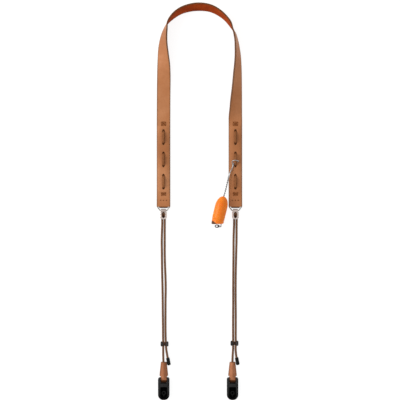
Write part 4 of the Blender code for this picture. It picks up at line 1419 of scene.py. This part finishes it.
def make_capsule():
    radius = capsule_radius
    length = capsule_length
    bore_end = length - capsule_bore_depth
    dome = capsule_dome * length
    rim = [(0.0032, 0.0008), (0.0028, 0.0002), (0.0020, 0.0), (0.0010, 0.0002), (0.0003, 0.0009)]
    rim += [(0.0, 0.0020 + 0.0005 * k) for k in range(9)]
    groove = [(0.00022, 0.0063), (0.00022, 0.0068), (0.0, 0.0071)]
    profile = [(share * radius, 0.0008) for share in (0.0, 0.15, 0.30, 0.45, 0.60)]
    profile += [(radius - inset, height) for inset, height in rim + groove]
    profile += [(radius, dome * (0.4 + 0.6 * k / 5)) for k in range(6)]
    for i in range(1, 18):
        a = math.radians(90 * i / 18.6)
        profile.append((radius * math.cos(a), dome + (length - dome) * math.sin(a)))
    profile += [(capsule_bore, length), (capsule_bore, bore_end), (0.0, bore_end)]
    mesh = turned("capsule_shell", profile, 72, 50.0)
    turn = capsule_up.to_track_quat("Z", "Y")
    slant_foot(mesh, turn.inverted() @ capsule_across)
    dress("capsule_shell", mesh, "orange", ["capsule"], capsule_base, turn)


def wire_lines():
    """The twisted stretch from the capsule up to the lacing, and the single loop round it."""
    loop = leg_axis["right"]
    middle = lace_centres[1]
    on_leather = lace_surface + clearance + wire_strand
    under = lace_surface + clearance + wire_strand / 2
    over = lace_surface + 2 * clearance + lace_raise + lace_loop_height + wire_strand / 2
    going_up = [
        (-0.0185, -0.0580, 0.0102),
        (-0.0140, -0.0400, on_leather + 0.0012),
        (-0.0108, -0.0270, on_leather + 0.0003),
        (-0.0070, -0.0170, on_leather + 0.0001),
    ]
    round_lace = [
        (-0.0048, -0.0125, under + 0.0004),
        (-0.0052, -0.0075, under + 0.0010),
        (-0.0056, -0.0038, under + 0.0032),
        (-0.0034, -0.0022, over - 0.0006),
        (0.0, -0.0017, over),
        (0.0034, -0.0023, over - 0.0008),
        (0.0054, -0.0032, under + 0.0028),
        (0.0044, -0.0038, under + 0.0006),
        (0.0010, -0.0042, under),
        (-0.0031, -0.0068, under),
        (-0.0036, -0.0105, under),
    ]
    twisted = [tuple(capsule_base + capsule_up * (capsule_length + out)) for out in (-0.0042, 0.0015)]
    twisted += [(loop + x, middle + y, z) for x, y, z in going_up]
    single = [(loop + x, middle + y, z) for x, y, z in round_lace]
    return twisted, single


def make_wire():
    """One wire, doubled: its two halves twist round each other below the loop."""
    twisted, single = wire_lines()
    line = smooth_rows(twisted, 0.0005)
    side, upward = directions(line, (0, 0, 1))
    along = distances(line)
    left_to_go = along[-1] - along
    turn = 2 * math.pi * np.minimum(left_to_go - loose_length, 0.0) / loose_twist
    turn = turn + 2 * math.pi * np.maximum(left_to_go - loose_length, 0.0) / wire_twist + math.pi / 2
    half = wire_strand / 2
    offset = half * (np.cos(turn)[:, None] * side + np.sin(turn)[:, None] * upward)
    going = (line + offset)[:-6]
    coming = (line - offset)[:-6][::-1]
    if going[-1][0] > coming[0][0]:
        going, coming = coming[::-1], going[::-1]
    bridge = smooth_rows([going[-1], *single, coming[0]], 0.0005)
    mesh = bar("twisted_wire", np.vstack([going[:-1], bridge, coming[1:]]), half, 12)
    dress("twisted_wire", mesh, "wire", ["wire_loop"])


def make_hook_and_ring():
    radius = keyring_radius
    points = [(radius * math.cos(a), radius * math.sin(a), 0.0) for a in around(48)]
    mesh = bar("key_ring", points, keyring_wire / 2, 16, closed=True)
    height = keyring_wire / 2 + radius * math.sin(keyring_tilt)
    centre = Vector((capsule_base.x, capsule_base.y - keyring_drop, height))
    tilt = Matrix.Rotation(keyring_tilt, 3, "X").to_quaternion()
    dress("key_ring", mesh, "key_ring", ["capsule_ring"], centre, tilt)

    held = centre + Vector((radius, 0, 0))
    away = Vector((0.0, -math.sin(keyring_tilt), math.cos(keyring_tilt)))
    start = capsule_base + capsule_across * hook_root + Vector((0, 0, -0.0045))
    start = start + capsule_up * (foot_slant(hook_root) - clearance)
    rows = [start, start - capsule_up * 0.0016, held + Vector((0.0031, 0, 0)) + away * 0.0012]
    for degrees in (45, 90, 135, 180, 225, 270, 310):
        a = math.radians(degrees)
        rows.append(held + (Vector((math.cos(a), 0, 0)) + away * math.sin(a)) * hook_curl)
    mesh = bar("small_hook", smooth_rows([tuple(row) for row in rows], 0.0004), hook_wire / 2, 12)
    dress("small_hook", mesh, "key_ring", ["capsule_hook"])


# Floor and light


def make_floor():
    made = Recipe("floor_finish", 0.9)
    mottle = made.noise(3.0, 2.0)
    made.set("Base Color", made.ramp(mottle, [(0.3, (0.22, 0.22, 0.22)), (0.7, (0.24, 0.24, 0.24))]))
    made.set("Emission Color", (1.0, 1.0, 1.0))
    made.set("Emission Strength", 0.86)
    made.set("Specular IOR Level", 0.1)
    half = 25.0
    corners = [(-half, -half, 0), (half, -half, 0), (half, half, 0), (-half, half, 0)]
    mesh = bpy.data.meshes.new("floor")
    mesh.from_pydata(corners, [], [(0, 1, 2, 3)])
    mesh.materials.append(made.material)
    floor = bpy.data.objects.new("floor", mesh)
    floor.location.z = -0.0001
    bpy.context.scene.collection.objects.link(floor)


def area_light(name, place, size, power, colour):
    data = bpy.data.lights.new(name, "AREA")
    data.shape = "SQUARE"
    data.size = size
    data.energy = power
    data.color = colour
    light = bpy.data.objects.new(name, data)
    bpy.context.scene.collection.objects.link(light)
    light.location = place
    light.rotation_euler = (-Vector(place)).to_track_quat("-Z", "Y").to_euler()


def make_light():
    world = bpy.data.worlds.new("studio")
    world.use_nodes = True
    sky = world.node_tree.nodes["Background"]
    sky.inputs["Color"].default_value = (1.0, 1.0, 1.0, 1.0)
    sky.inputs["Strength"].default_value = 0.72
    bpy.context.scene.world = world
    area_light("key", (-1.9, 0.5, 1.2), 1.2, 36.0, (1.0, 0.99, 0.97))
    area_light("fill", (1.2, -1.0, 1.8), 1.6, 1.0, (0.97, 0.985, 1.0))
    bpy.context.scene.view_settings.view_transform = "Standard"


place_camera()
make_cords()
band = make_band()
make_lining()
make_lacing()
find_on_band = surface_finder(band)
make_tacks(find_on_band)
make_rows(find_on_band)
make_metal()
make_tabs()
make_connectors()
make_capsule()
make_wire()
make_hook_and_ring()
make_floor()
make_light()
